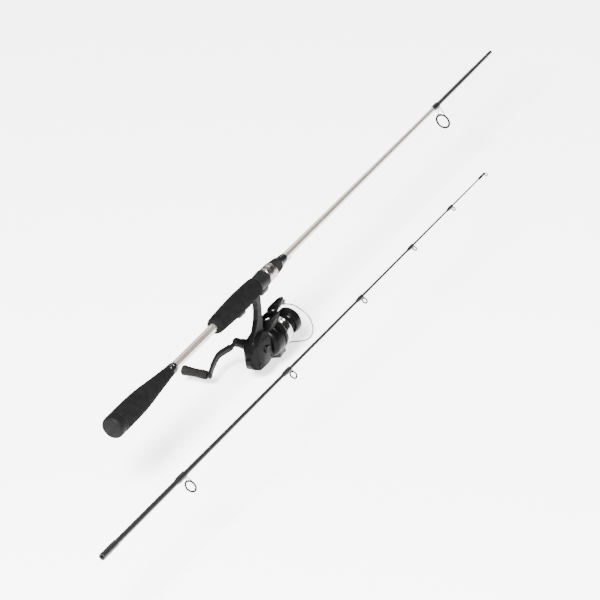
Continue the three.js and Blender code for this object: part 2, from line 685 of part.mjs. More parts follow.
function bailHolder() {
  const hub = alongY(rod(-30.2, -27.1, 4.4), BAIL_PIVOT_X, 0);
  const pivot = alongY(rod(-28, -23.6, 1.3, 12), BAIL_PIVOT_X, 0);
  const nose = plate([
    [BAIL_PIVOT_X, -4.3], [393, -5.8], [395.4, -5.2], [395.4, -1.6], [393, -0.6], [BAIL_PIVOT_X, 4.3],
  ], -30.2, -27.1, 0.4);
  const wireBore = rod(388.4, 400, 1.1, 12).translate(0, BAIL_WIRE_END.y, BAIL_WIRE_END.z);
  return cut(join(hub, nose, pivot), wireBore);
}

// ---------- spool ----------
function spool() {
  const hub = [[381, 1.8], [381, 6], [391, 6], [391, 10.6], [388.6, 17.6]];
  const skirt = [[372.6, 18], [372, 18.6], [372, 20.2], [373, 20.9], [377, 20.9], [378, 20.2], [378, 18.9]];
  const lineWell = [[390.2, 18.9], [390.2, 19.6], [391.5, 19.4], [392, 12.5], [403.4, 12.5]];
  const lip = [[404.4, 16.4], [412.8, 17.9], [414.6, 17.5], [415, 16.4], [415, 13.6], [413, 11.2]];
  const washerRoom = [[412.4, 10.6], [394, 10.6], [394, 1.8]];
  return turned([...hub, ...skirt, ...lineWell, ...lip, ...washerRoom], FINE_SIDES);
}

function spoolBand() {
  return turned([[378.3, 19.2], [378.3, 20.4], [389.9, 19.8], [389.9, 19.2]], FINE_SIDES);
}

function dragWashers() {
  return tube(394.3, 397.6, 1.9, 10.2);
}

function dragKnob() {
  return turned([
    [412, 0], [412, 1.8], [397.9, 1.8], [397.9, 9.8], [412, 9.8], [416.6, 9.3], [418.4, 7.6], [418.4, 0],
  ]);
}

// ---------- crank ----------
// These are drawn with X along the crank arm and Y along the crank's axis.
function crankBoss() {
  const sleeve = turned([
    [18, 0], [18, 2.7], [15, 2.7], [15, 7.2], [17, 7.2], [24, 6.2], [28, 5.6], [28, 0],
  ]);
  const cheek = slab([
    [-4.6, 27], [4.6, 27], [4.6, FOLD_Y], [3.2, FOLD_Y + 3.2], [0, FOLD_Y + 4.4],
    [-3.2, FOLD_Y + 3.2], [-4.6, FOLD_Y],
  ], -4.8, 4.8);
  const slot = box(-8, 8, 28.3, 40, -2.1, 2.1);
  const screw = rod(-5.6, 5.6, 1.3, 12).rotateY(Math.PI / 2).translate(0, FOLD_Y, 0);
  return join(alongY(sleeve, 0, 0), cut(cheek, slot), screw);
}

function crankArm() {
  const half = 3.4;
  const r = CRANK_RADIUS;
  const outline = [
    [6.4, 33], [11.5, 34.4], [17, 39.6], [23.6, 44.8], [30, 46.2], [44, 46], [r, 44.3], [r + 3.4, 45],
    [r + 3.4, 47.6], [r, 48.6], [46, 49], [40, 50.2], [29, 50.6], [19.6, 49], [11.6, 42.6], [6.4, 38],
  ];
  const eye = slab([
    [-2.5, FOLD_Y - 0.8], [-1.2, FOLD_Y - 2.2], [1.6, FOLD_Y - 2.3], [9, 34.6], [9, 39.4], [4, 36.4],
    [-0.6, FOLD_Y + 3], [-2.4, FOLD_Y + 1.2],
  ], -1.8, 1.8);
  const pivotBore = rod(-8, 8, 1.6, 12).rotateY(Math.PI / 2).translate(0, FOLD_Y, 0);
  const spindle = alongY(rod(47, 82, 1.7, 14), r, 0);
  return join(slab(outline, -half, half, 0.9), cut(eye, pivotBore), spindle);
}

function crankKnob() {
  const outside = [
    [49.5, 5.2], [51, 6], [58, 5.8], [66, 5.35], [74, 5.7], [80, 6.3], [83.6, 6.8], [85.4, 6.4], [86, 5.4],
  ];
  return alongY(turned([[83, 0], [83, 2], [49.5, 2], ...outside, [86, 0]]), CRANK_RADIUS, 0);
}

// ---------- the whole ----------
add(model, "butt_cap", buttCap(), capRubber);
add(model, "rear_grip", rearGrip(), foam);
add(model, "rear_grip_trim", rearGripTrim(), glossBlack);
add(model, "butt_blank", buttBlank(), silverLacquer);
add(model, "fore_grip", foreGrip(), foam);
add(model, "reel_seat", reelSeat(), seatBlack);
add(model, "seat_arbor", seatArbor(), felt);
add(model, "sliding_hood", slidingHood(), seatBlack);
add(model, "lock_nut_ring", lockNutRing(), satinSilver);
add(model, "lock_nut", lockNut(), seatBlack);
add(model, "front_sleeve", frontSleeve(), glossBlack);
add(model, "hook_keeper", hookKeeper(), darkTrim);
addGuide(model, "stripper", STRIPPER);

add(tipSection, "tip_blank", tipBlank(), carbonBlack);
add(tipSection, "ferrule_winding", ferruleWinding(), glossBlack);
TIP_GUIDES.forEach((guide, i) => addGuide(tipSection, "guide_" + (i + 1), guide));
add(tipSection, "tip_top_frame", tipTopFrame(), darkTrim);
add(tipSection, "tip_top_ring", tipTopRing(), ceramic);

add(model, "reel_body", reelBody(), reelGrey);
add(model, "side_cover", sideCover(), reelGrey);
add(model, "rear_cover", rearCover(), darkTrim);
add(model, "axle_cap", axleCap(), darkTrim);
add(model, "drive_gear", driveGear(), brass);
add(model, "drive_bearing_left", alongY(bearingRing(9.4, 14.2, 2.65, 4.6), CRANK_AXIS.x, CRANK_AXIS.z), steel);
add(model, "drive_bearing_right", alongY(bearingRing(-13.1, -9.9, 2.65, 4.6), CRANK_AXIS.x, CRANK_AXIS.z), steel);
add(model, "oscillation_gear", camWheel(), brass);
add(model, "oscillation_slider", slider(), steel);
add(reel, "pinion", pinion(), brass);
add(reel, "pinion_bearing", bearingRing(354.9, 359.2, 3.25, 5.1), steel);
add(reel, "main_shaft", rod(319, 411.6, SHAFT_RADIUS, 16), steel);
add(rotorFrame, "rotor", rotor(), rotorGrey);
add(reel, "rotor_nut", rotorNut(), brass);
add(rotorFrame, "bail_arm", bailArm(), rotorGrey);
add(rotorFrame, "line_roller", lineRoller(), polished);
add(rotorFrame, "bail_wire", bailWire(), wireBrown);
add(rotorFrame, "bail_holder", bailHolder(), rotorGrey);
add(reel, "spool", spool(), glossBlack);
add(reel, "spool_band", spoolBand(), polished);
add(reel, "drag_washers", dragWashers(), felt);
add(reel, "drag_knob", dragKnob(), darkTrim);
add(crankFrame, "crank_boss", crankBoss(), crankGrey);
add(crankFrame, "crank_arm", crankArm(), crankGrey);
add(crankFrame, "crank_knob", crankKnob(), knobGrey);

export default model;
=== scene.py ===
import json
import math

import bmesh
import bpy
from mathutils import Matrix, Vector


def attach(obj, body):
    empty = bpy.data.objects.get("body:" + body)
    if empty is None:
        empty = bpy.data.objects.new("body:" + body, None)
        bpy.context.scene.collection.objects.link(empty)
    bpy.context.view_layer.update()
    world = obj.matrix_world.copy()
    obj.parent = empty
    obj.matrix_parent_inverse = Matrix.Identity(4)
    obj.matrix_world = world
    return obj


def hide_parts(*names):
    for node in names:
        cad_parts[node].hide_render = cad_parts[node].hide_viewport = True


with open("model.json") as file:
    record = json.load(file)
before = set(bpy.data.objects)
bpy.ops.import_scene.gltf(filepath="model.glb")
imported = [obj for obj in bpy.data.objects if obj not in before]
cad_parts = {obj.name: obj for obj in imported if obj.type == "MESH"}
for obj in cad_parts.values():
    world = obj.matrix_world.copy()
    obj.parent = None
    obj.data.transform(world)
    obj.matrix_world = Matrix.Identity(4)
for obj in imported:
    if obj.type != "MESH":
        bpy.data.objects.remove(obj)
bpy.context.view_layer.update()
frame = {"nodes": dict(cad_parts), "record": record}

MM = 0.001
SIDES = 64  # facets round a turned piece
SHARP = math.radians(38)  # edges sharper than this aren't shaded smooth
SECTION_LENGTH = 940
BLANK_TURNS_BLACK = 793.6  # along the butt blank, where silver lacquer gives way to black
TIP_PLACE = (-254, -141, 0)  # the tip section's rear end, beside the butt section
REEL_AXIS_Z = -88  # the spool's and rotor's axis
CRANK_AXIS = (337, 0, -83)
ROTOR_REST = 84  # degrees about the rotor's axis
CRANK_REST = 152  # degrees about the crank's axis
RIM_SHARE = 1.35  # a guide ring's rim against the wire of its legs
FLOOR_Z = -0.128  # metres
FLOOR_GLOW = 2.3  # the strength of the light that the floor gives off
OBJECT_MIDDLE = Vector((0.35, -0.07, -0.03))  # metres, where the lamps point

# The frames that some pieces are drawn in.
ROD = Matrix.Identity(4)
TIP = Matrix.Translation(TIP_PLACE)
REEL = Matrix.Translation((0, 0, REEL_AXIS_Z))
ROTOR = REEL @ Matrix.Rotation(math.radians(ROTOR_REST), 4, "X")
CRANK = Matrix.Translation(CRANK_AXIS) @ Matrix.Rotation(math.radians(CRANK_REST), 4, "Y")
ALONG_Y = Matrix.Rotation(math.radians(90), 4, "Z")  # lays a piece turned about X onto Y
ALONG_Z = Matrix.Rotation(math.radians(-90), 4, "Y")  # lays it onto Z
CRANK_AXLE = Matrix.Translation(CRANK_AXIS) @ ALONG_Y  # for pieces turned about the crank's axis


# ---------- materials ----------
class Nodes:
    """A material's node tree, with short ways to add to it."""

    def __init__(self, name):
        self.material = bpy.data.materials.new(name)
        self.material.use_nodes = True
        self.tree = self.material.node_tree
        self.shader = self.tree.nodes["Principled BSDF"]
        self.where = self.add("ShaderNodeTexCoord").outputs["Object"]

    def add(self, kind, **values):
        node = self.tree.nodes.new(kind)
        for key, value in values.items():
            setattr(node, key, value)
        return node

    def link(self, source, target):
        self.tree.links.new(source, target)

    def stretched(self, scale):
        mapping = self.add("ShaderNodeMapping")
        mapping.inputs["Scale"].default_value = scale
        self.link(self.where, mapping.inputs["Vector"])
        return mapping.outputs["Vector"]

    def noise(self, scale, detail=4.0, where=None):
        node = self.add("ShaderNodeTexNoise")
        node.inputs["Scale"].default_value = scale
        node.inputs["Detail"].default_value = detail
        self.link(where or self.where, node.inputs["Vector"])
        return node.outputs["Fac"]

    def ramp(self, value, low, high, start=0.35, end=0.65):
        node = self.add("ShaderNodeValToRGB")
        node.color_ramp.elements[0].position = start
        node.color_ramp.elements[1].position = end
        node.color_ramp.elements[0].color = (*low, 1)
        node.color_ramp.elements[1].color = (*high, 1)
        self.link(value, node.inputs["Fac"])
        return node.outputs["Color"]

    def number_range(self, value, low, high):
        node = self.add("ShaderNodeMapRange")
        node.inputs["From Min"].default_value = 0.3
        node.inputs["From Max"].default_value = 0.7
        node.inputs["To Min"].default_value = low
        node.inputs["To Max"].default_value = high
        self.link(value, node.inputs["Value"])
        return node.outputs["Result"]

    def bump(self, height, strength, distance):
        node = self.add("ShaderNodeBump")
        node.inputs["Strength"].default_value = strength
        node.inputs["Distance"].default_value = distance * MM
        self.link(height, node.inputs["Height"])
        self.link(node.outputs["Normal"], self.shader.inputs["Normal"])

    def paint(self, colour):
        self.link(colour, self.shader.inputs["Base Color"])

    def set(self, **values):
        for key, value in values.items():
            self.shader.inputs[key.replace("_", " ")].default_value = value


def scaled(colour, share):
    return tuple(min(1, c * share) for c in colour)


def surface(name, colour, roughness, metallic=0.0, vary=0.12, grain=500, coat=0.0, bump=None, shine=0.1):
    """A material whose colour and roughness drift a little over the surface. bump is
    (noise scale, strength, depth in mm), and shine is how much a bare surface reflects."""
    nodes = Nodes(name)
    drift = nodes.noise(grain)
    nodes.paint(nodes.ramp(drift, scaled(colour, 1 - vary), scaled(colour, 1 + vary)))
    wear = nodes.noise(grain * 0.3)
    nodes.link(nodes.number_range(wear, roughness * 0.88, roughness * 1.15), nodes.shader.inputs["Roughness"])
    nodes.set(Metallic=metallic, Specular_IOR_Level=shine, Coat_Weight=coat, Coat_Roughness=0.08)
    if bump:
        scale, strength, depth = bump
        nodes.bump(nodes.noise(scale, 6), strength, depth)
    return nodes.material


def foam_material():
    nodes = Nodes("eva_foam")
    cells = nodes.add("ShaderNodeTexVoronoi")
    cells.inputs["Scale"].default_value = 1500
    nodes.link(nodes.where, cells.inputs["Vector"])
    drift = nodes.noise(120)
    nodes.paint(nodes.ramp(drift, (0.003, 0.003, 0.0032), (0.0052, 0.0052, 0.0054)))
    nodes.set(Roughness=0.95, Specular_IOR_Level=0.04)
    nodes.bump(cells.outputs["Distance"], 0.5, 0.12)
    return nodes.material


def butt_blank_material():
    """Silver lacquer with a fine flake, then gloss black ahead of the stripper guide."""
    nodes = Nodes("butt_blank_lacquer")
    flake = nodes.ramp(nodes.noise(6000, 2), (0.37, 0.32, 0.275), (0.56, 0.495, 0.435), 0.4, 0.6)
    split = nodes.add("ShaderNodeSeparateXYZ")
    nodes.link(nodes.where, split.inputs["Vector"])
    ahead = nodes.add("ShaderNodeMath", operation="GREATER_THAN")
    ahead.inputs[1].default_value = BLANK_TURNS_BLACK * MM
    nodes.link(split.outputs["X"], ahead.inputs[0])
    mix = nodes.add("ShaderNodeMix", data_type="RGBA")
    mix.inputs["B"].default_value = (0.007, 0.007, 0.007, 1)
    nodes.link(ahead.outputs["Value"], mix.inputs["Factor"])
    nodes.link(flake, mix.inputs["A"])
    nodes.paint(mix.outputs["Result"])
    silver_metallic, black_metallic = 0.8, 0.05
    metal = nodes.add("ShaderNodeMath", operation="MULTIPLY_ADD")
    metal.inputs[1].default_value = black_metallic - silver_metallic
    metal.inputs[2].default_value = silver_metallic
    nodes.link(ahead.outputs["Value"], metal.inputs[0])
    nodes.link(metal.outputs["Value"], nodes.shader.inputs["Metallic"])
    nodes.set(Roughness=0.19, Coat_Weight=0.15, Coat_Roughness=0.05)
    return nodes.material


def thread_material(name, colour, pitch, strength, coat=1.0):
    """Thread wound round the rod under clear resin: fine ridges along X."""
    nodes = Nodes(name)
    wave = nodes.add("ShaderNodeTexWave", wave_type="BANDS", bands_direction="X")
    wave.inputs["Scale"].default_value = 1 / (pitch * MM * 3.2)
    wave.inputs["Distortion"].default_value = 0.3
    nodes.link(nodes.where, wave.inputs["Vector"])
    nodes.paint(nodes.ramp(wave.outputs["Fac"], scaled(colour, 0.75), scaled(colour, 1.3), 0.1, 0.9))
    nodes.set(Roughness=0.35, Specular_IOR_Level=0.2, Coat_Weight=coat, Coat_Roughness=0.08)
    nodes.bump(wave.outputs["Fac"], strength, 0.08)
    return nodes.material


def brushed_material(name, colour, roughness, stretch):
    """Metal with fine lines: stretch is the noise's scale along X, Y and Z."""
    nodes = Nodes(name)
    lines = nodes.noise(1, 5, nodes.stretched(stretch))
    nodes.paint(nodes.ramp(lines, scaled(colour, 0.86), scaled(colour, 1.08)))
    nodes.link(nodes.number_range(lines, roughness * 0.75, roughness * 1.3), nodes.shader.inputs["Roughness"])
    nodes.set(Metallic=1.0)
    nodes.bump(lines, 0.12, 0.02)
    return nodes.material


foam = foam_material()
cap_rubber = surface(
    "butt_cap_rubber", (0.0016, 0.0016, 0.0016), 0.7, vary=0.15, grain=300, bump=(3500, 0.3, 0.04),
)
black_gloss = surface("black_gloss", (0.005, 0.005, 0.005), 0.2, coat=0.2)
blank_silver = butt_blank_material()
blank_black = surface("tip_blank_lacquer", (0.008, 0.008, 0.0082), 0.22, vary=0.2, grain=900, coat=0.3)
black_thread = thread_material("black_thread", (0.006, 0.006, 0.0062), 0.35, 0.25, 0.2)
seat_black = surface("seat_black", (0.0055, 0.0055, 0.0057), 0.34, grain=800, bump=(2500, 0.12, 0.02))
knurl_black = surface("nut_black", (0.006, 0.006, 0.006), 0.42, grain=800)
satin_silver = brushed_material("satin_silver", (0.33, 0.295, 0.28), 0.27, (3000, 120, 120))
guide_metal = surface("guide_black_chrome", (0.004, 0.004, 0.004), 0.35, vary=0.2, grain=900)
ring_ceramic = surface("guide_ceramic", (0.0035, 0.0033, 0.003), 0.2, grain=1200)
reel_grey = surface(
    "reel_graphite", (0.0018, 0.0018, 0.0018), 0.42, vary=0.1, grain=700, bump=(5200, 0.16, 0.02),
    shine=0.055,
)
reel_trim = surface("reel_trim", (0.0014, 0.0014, 0.0014), 0.36, grain=700, shine=0.05)
rotor_grey = surface(
    "rotor_graphite", (0.0014, 0.0014, 0.0014), 0.34, vary=0.1, grain=700, bump=(5200, 0.12, 0.02),
    shine=0.06,
)
spool_black = surface("spool_anodised", (0.0022, 0.0022, 0.0023), 0.24, grain=900, shine=0.09)
polished = brushed_material("polished_metal", (0.42, 0.41, 0.4), 0.1, (5200, 60, 60))
bail_metal = brushed_material("bail_steel", (0.17, 0.155, 0.14), 0.35, (900, 900, 900))
crank_grey = surface(
    "crank_metal", (0.0045, 0.0045, 0.0044), 0.38, vary=0.1, grain=600, bump=(4800, 0.12, 0.02), shine=0.07,
)
knob_rubber = surface(
    "knob_rubber", (0.0055, 0.0053, 0.0051), 0.62, vary=0.12, grain=400, bump=(4200, 0.3, 0.03), shine=0.06,
)
steel = brushed_material("ground_steel", (0.6, 0.6, 0.6), 0.25, (1200, 1200, 1200))
brass = brushed_material("machined_brass", (0.62, 0.46, 0.2), 0.3, (1500, 900, 900))
felt = surface("felt_and_filler", (0.3, 0.29, 0.27), 0.9, vary=0.2, grain=900, bump=(3000, 0.5, 0.1))


def floor_material():
    """White paper, lit from below as well as from above, as on a light table."""
    nodes = Nodes("floor_paper")
    fibres = nodes.ramp(nodes.noise(3), (0.897, 0.897, 0.897), (0.903, 0.903, 0.903))
    nodes.paint(fibres)
    nodes.link(fibres, nodes.shader.inputs["Emission Color"])
    nodes.set(Roughness=0.9, Specular_IOR_Level=0.1, Emission_Strength=FLOOR_GLOW)
    return nodes.material


floor_white = floor_material()

SLOT_LOOKS = {
    "cap_rubber": cap_rubber,
    "foam": foam,
    "black_gloss": black_gloss,
    "silver_lacquer": blank_silver,
    "seat_black": seat_black,
    "satin_silver": satin_silver,
    "arbor": felt,
    "guide_metal": guide_metal,
    "black_blank": blank_black,
    "guide_ring": ring_ceramic,
    "reel_grey": reel_grey,
    "reel_trim": reel_trim,
    "gear_metal": brass,
    "steel": steel,
    "rotor_grey": rotor_grey,
    "bail_metal": bail_metal,
    "polished_metal": polished,
    "spool_black": spool_black,
    "felt": felt,
    "crank_grey": crank_grey,
    "knob_rubber": knob_rubber,
}
for part in frame["record"]["subparts"]:
    slots = frame["nodes"][part["node"]].data.materials
    slots.clear()
    slots.append(SLOT_LOOKS[part["material_slot"]])


# ---------- shapes ----------
def new_object(name, mesh, place):
    """An object whose vertices are in millimetres of the frame place, put into the row's metres."""
    mesh.transform(Matrix.Scale(MM, 4) @ place)
    obj = bpy.data.objects.new(name, mesh)
    bpy.context.scene.collection.objects.link(obj)
    return obj


def mesh_from(bm, name, smooth=True):
    bmesh.ops.remove_doubles(bm, verts=bm.verts, dist=1e-5)
    bmesh.ops.recalc_face_normals(bm, faces=bm.faces)
    mesh = bpy.data.meshes.new(name)
    bm.to_mesh(mesh)
    bm.free()
    for polygon in mesh.polygons:
        polygon.use_smooth = smooth
    mesh.set_sharp_from_angle(angle=SHARP)
    return mesh


def turned(name, outline, sides=SIDES, wave=None):
    """A piece turned about X. The outline is [x, radius] points that start and end on the axis or
    close on themselves. wave(angle, radius) may return another radius, for ribs."""
    closed = not (outline[0][1] == 0 and outline[-1][1] == 0)
    bm = bmesh.new()
    rings = []
    for x, radius in outline:
        if radius == 0:
            rings.append([bm.verts.new((x, 0, 0))] * sides)
            continue
        ring = []
        for i in range(sides):
            angle = 2 * math.pi * i / sides
            r = wave(angle, radius) if wave else radius
            ring.append(bm.verts.new((x, r * math.cos(angle), r * math.sin(angle))))
        rings.append(ring)
    pairs = list(zip(rings, rings[1:])) + ([(rings[-1], rings[0])] if closed else [])
    for first, second in pairs:
        for i in range(sides):
            j = (i + 1) % sides
            corners = [first[i], first[j], second[j], second[i]]
            unique = list(dict.fromkeys(corners))
            if len(unique) > 2:
                bm.faces.new(unique)
    return mesh_from(bm, name)


def smooth_profile(points, steps=5):
    """More points along an outline, on a smooth curve through those given."""
    path = catmull([Vector((x, r, 0)) for x, r in points], steps)
    return [[p.x, max(0, p.y)] for p in path]


def catmull(points, steps):
    made = []
    last = len(points) - 1
    for i in range(last):
        p0 = points[max(i - 1, 0)]
        p1 = points[i]
        p2 = points[i + 1]
        p3 = points[min(i + 2, last)]
        for k in range(steps):
            t = k / steps
            a = p1 * 2 + (p2 - p0) * t
            b = (p0 * 2 - p1 * 5 + p2 * 4 - p3) * t * t
            c = (p1 * 3 - p0 - p2 * 3 + p3) * t * t * t
            made.append((a + b + c) / 2)
    made.append(points[-1])
    return made


def tube(name, points, radius, steps=8, sides=14, flatten=1.0):
    """A bar along a smooth curve, round or with its height multiplied by flatten."""
    path = catmull([Vector(p) for p in points], steps)
    bm = bmesh.new()
    up = Vector((0, 0, 1)) if abs((path[1] - path[0]).normalized().z) < 0.9 else Vector((0, 1, 0))
    rings = []
    for i, point in enumerate(path):
        ahead = (path[min(i + 1, len(path) - 1)] - path[max(i - 1, 0)]).normalized()
        side = ahead.cross(up).normalized()
        up = side.cross(ahead).normalized()
        ring = []
        for k in range(sides):
            angle = 2 * math.pi * k / sides
            across = side * radius * math.cos(angle)
            ring.append(bm.verts.new(point + across + up * radius * flatten * math.sin(angle)))
        rings.append(ring)
    for first, second in zip(rings, rings[1:]):
        for k in range(sides):
            j = (k + 1) % sides
            bm.faces.new([first[k], first[j], second[j], second[k]])
    bm.faces.new(rings[0])
    bm.faces.new(rings[-1])
    return mesh_from(bm, name)


def hoop(name, x, z, middle, thick, sides=40, around=12):
    """A round ring across X."""
    bm = bmesh.new()
    rings = []
    for i in range(sides):
        turn = 2 * math.pi * i / sides
        ring = []
        for k in range(around):
            angle = 2 * math.pi * k / around
            r = middle + thick * math.cos(angle)
            place = (x + thick * math.sin(angle), r * math.sin(turn), z + r * math.cos(turn))
            ring.append(bm.verts.new(place))
        rings.append(ring)
    for i in range(sides):
        first, second = rings[i], rings[(i + 1) % sides]
        for k in range(around):
            j = (k + 1) % around
            bm.faces.new([first[k], first[j], second[j], second[k]])
    return mesh_from(bm, name)


TO_SIDE = Matrix.Rotation(math.radians(90), 4, "X")  # a slab drawn in XY stands in XZ
TO_REAR = Matrix.Rotation(math.radians(90), 4, "Z") @ TO_SIDE  # and in YZ


def slab(name, outline, low, high, turn=None, bevel=0.0, segments=3):
    """An outline in XY drawn out from z = low to high, with its edges rounded by bevel."""
    bm = bmesh.new()
    bottom = [bm.verts.new((x, y, low)) for x, y in outline]
    top = [bm.verts.new((x, y, high)) for x, y in outline]
    bm.faces.new(bottom)
    bm.faces.new(top)
    count = len(outline)
    for i in range(count):
        j = (i + 1) % count
        bm.faces.new([bottom[i], bottom[j], top[j], top[i]])
    if bevel:
        bmesh.ops.bevel(
            bm, geom=bm.edges[:], offset=bevel, segments=segments, profile=0.5,
            affect="EDGES", clamp_overlap=True,
        )
    mesh = mesh_from(bm, name)
    if turn is not None:
        mesh.transform(turn)
    return mesh


def plate(name, outline, low, high, bevel=0.0, segments=3):
    """The same with its outline in XZ and its faces at y = low and high."""
    return slab(name, outline, -high, -low, TO_SIDE, bevel, segments)


def beam(name, outline, low, high):
    """The same with its outline in YZ, its faces at x = low and high, and sharp edges."""
    return slab(name, outline, low, high, TO_REAR)


def merged(name, meshes):
    """Several meshes as one."""
    bm = bmesh.new()
    for mesh in meshes:
        bm.from_mesh(mesh)
    made = bpy.data.meshes.new(name)
    bm.to_mesh(made)
    bm.free()
    made.set_sharp_from_angle(angle=SHARP)
    return made


def moved(mesh, matrix):
    mesh.transform(matrix)
    return mesh


def applied(obj):
    """The object's mesh with its modifiers in it."""
    bpy.context.view_layer.update()
    graph = bpy.context.evaluated_depsgraph_get()
    mesh = bpy.data.meshes.new_from_object(obj.evaluated_get(graph))
    bpy.data.objects.remove(obj)
    return mesh


def boolean(first, others, operation):
    """A solid after a boolean with each of the others."""
    obj = bpy.data.objects.new("work", first)
    bpy.context.scene.collection.objects.link(obj)
    tools = []
    for mesh in others:
        tool = bpy.data.objects.new("tool", mesh)
        bpy.context.scene.collection.objects.link(tool)
        modifier = obj.modifiers.new("cut", "BOOLEAN")
        modifier.operation = operation
        modifier.solver = "EXACT"
        modifier.object = tool
        tools.append(tool)
    made = applied(obj)
    for tool in tools:
        bpy.data.objects.remove(tool)
    made.set_sharp_from_angle(angle=SHARP)
    return made


def cut(first, *others):
    return boolean(first, others, "DIFFERENCE")


def common(first, *others):
    return boolean(first, others, "INTERSECT")


def fused(mesh, grain, rounds):
    """Overlapping solids as one casting, with its inside corners filled and its edges eased."""
    obj = bpy.data.objects.new("work", mesh)
    bpy.context.scene.collection.objects.link(obj)
    remesh = obj.modifiers.new("remesh", "REMESH")
    remesh.mode = "VOXEL"
    remesh.voxel_size = grain
    remesh.use_smooth_shade = True
    ease = obj.modifiers.new("ease", "SMOOTH")
    ease.factor = 0.5
    ease.iterations = rounds
    return applied(obj)


def show(name, mesh, look, body, place=ROD, stands_for=()):
    """Puts a piece into the scene on its body."""
    mesh.materials.clear()
    mesh.materials.append(look)
    obj = new_object(name, mesh, place)
    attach(obj, body)
    if stands_for:
        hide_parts(*stands_for)
    return obj


# ---------- butt section ----------
def make_handle():
    cap = [
        [0, 0], [0, 11.6], [0.3, 12.6], [1.1, 13.9], [2.2, 14.8], [3.8, 15.3], [5.5, 15.4],
        [13.4, 15.4], [13.8, 14.9], [14.8, 14.9], [15.2, 15.4], [17.7, 15.4], [17.9, 15.2],
        [17.9, 6.2], [14.6, 6.2], [14.6, 0],
    ]
    cap = turned("cap_moulding", cap)
    show("cap_moulding", cap, cap_rubber, "butt_section", ROD, ["butt_cap"])
    side = smooth_profile([
        [18.9, 15.4], [45, 15.2], [60, 14.8], [72, 14.1], [84, 13], [96, 11.7], [110, 10.3],
        [124, 8.9], [134, 7.9], [139.4, 7.35],
    ])
    grip = [[18.3, 6.2], [18.3, 15], *side, [140, 6.9], [140, 6.2]]
    show("rear_foam", turned("rear_foam", grip), foam, "butt_section", ROD, ["rear_grip"])
    trim = [
        [140.3, 6.2], [140.3, 7.1], [140.6, 7.4], [142.2, 7.45], [142.5, 7.2], [146.6, 7.1],
        [146.9, 7.35], [148.6, 7.3], [149, 7], [151.4, 6.75], [152, 6.5], [152, 6.2],
    ]
    trim = turned("rear_winding", trim)
    show("rear_winding", trim, black_gloss, "butt_section", ROD, ["rear_grip_trim"])


def make_butt_blank():
    taper = [[15, 5.9], [250, 5.85], [380, 5.3], [500, 4.4], [650, 3.6], [770, 3], [895.4, 2.76]]
    outline = smooth_profile(taper, 6)
    outline += [[896, 2.68], [896.2, 2.5], [939.6, 2.45], [940, 2.2], [940, 1.3]]
    bore = [[650, 2.1], [380, 3.7], [15, 4.4]]
    blank = turned("butt_blank_lacquered", [*outline, *bore])
    show("butt_blank_lacquered", blank, blank_silver, "butt_section", ROD, ["butt_blank"])


def make_fore_grip():
    side = smooth_profile([
        [247.2, 8.4], [248.6, 9.8], [251, 10.8], [254, 11.4], [262, 11.9], [284, 12.8],
        [308, 13.4], [330, 13], [346, 12.2], [348.4, 12],
    ])
    outline = [[247, 6.2], [247, 7.6], *side, [349, 11.8], [349, 11.4], [261, 11.4], [261, 6.2]]
    solid = turned("fore_foam", outline, 96)
    slot = plate("slot", [[291, -25], [350, -25], [350, -6], [291, -6]], -8.4, 8.4)
    show("fore_foam", cut(solid, slot), foam, "butt_section", ROD, ["fore_grip"])


def thread_outline(start, end, low, high, pitch):
    """The crests and roots of a screw thread along a turned outline."""
    points = []
    turns = int((end - start) / pitch)
    for i in range(turns):
        x = start + i * pitch
        points += [[x, low], [x + pitch * 0.3, high], [x + pitch * 0.55, high], [x + pitch * 0.85, low]]
    return points


def make_reel_seat():
    tube_side = [
        [261.6, 7.1], [261.6, 10.4], [263, 11], [264.5, 11.1], [350.2, 11.1], [351, 10.7], [351, 7.1],
    ]
    thread = thread_outline(351.2, 408, 6.85, 7.25, 1.5)
    outline = [*tube_side, *thread, [408.7, 6.8], [408.9, 5.8], [348, 5.9], [346, 7.1]]
    body = turned("seat_tube", outline, 80)
    flat = plate("flat", [[312, -20], [352, -20], [352, -9.8], [312, -9.8]], -12, 12)
    show("seat_tube", cut(body, flat), seat_black, "butt_section", ROD, ["reel_seat"])
    side = [[292.5, -9], [292.8, -11.5], [296, -14.4], [299, -15], [311.8, -15], [312, -8.6]]
    hood = plate("rear_hood", side, -7.9, 7.9, 1.1)
    pocket = plate("pocket", [[304, -13.4], [313, -13.4], [313, -9.8], [304, -9.8]], -6.8, 6.8)
    show("rear_hood", cut(hood, pocket), seat_black, "butt_section", ROD, ())


def make_sliding_hood():
    ring = turned("front_hood", [
        [351.3, 7.5], [351.3, 10.2], [351.6, 10.6], [353, 10.9], [366.8, 10.9], [367.4, 11.3],
        [368, 11.5], [370, 11.5], [370.7, 11.2], [371, 10.8], [371, 7.5],
    ], 80)
    lobe = plate("lobe", [[351.3, -14.6], [366, -14.6], [369, -12.2], [369, -8], [351.3, -8]], -7.6, 7.6, 1.2)
    pocket = plate("pocket", [[350, -13.2], [366, -13.2], [366, -9.6], [350, -9.6]], -6.8, 6.8)
    solid = boolean(ring, [lobe], "UNION")
    show("front_hood", cut(solid, pocket), seat_black, "seat_hood", ROD, ["sliding_hood"])


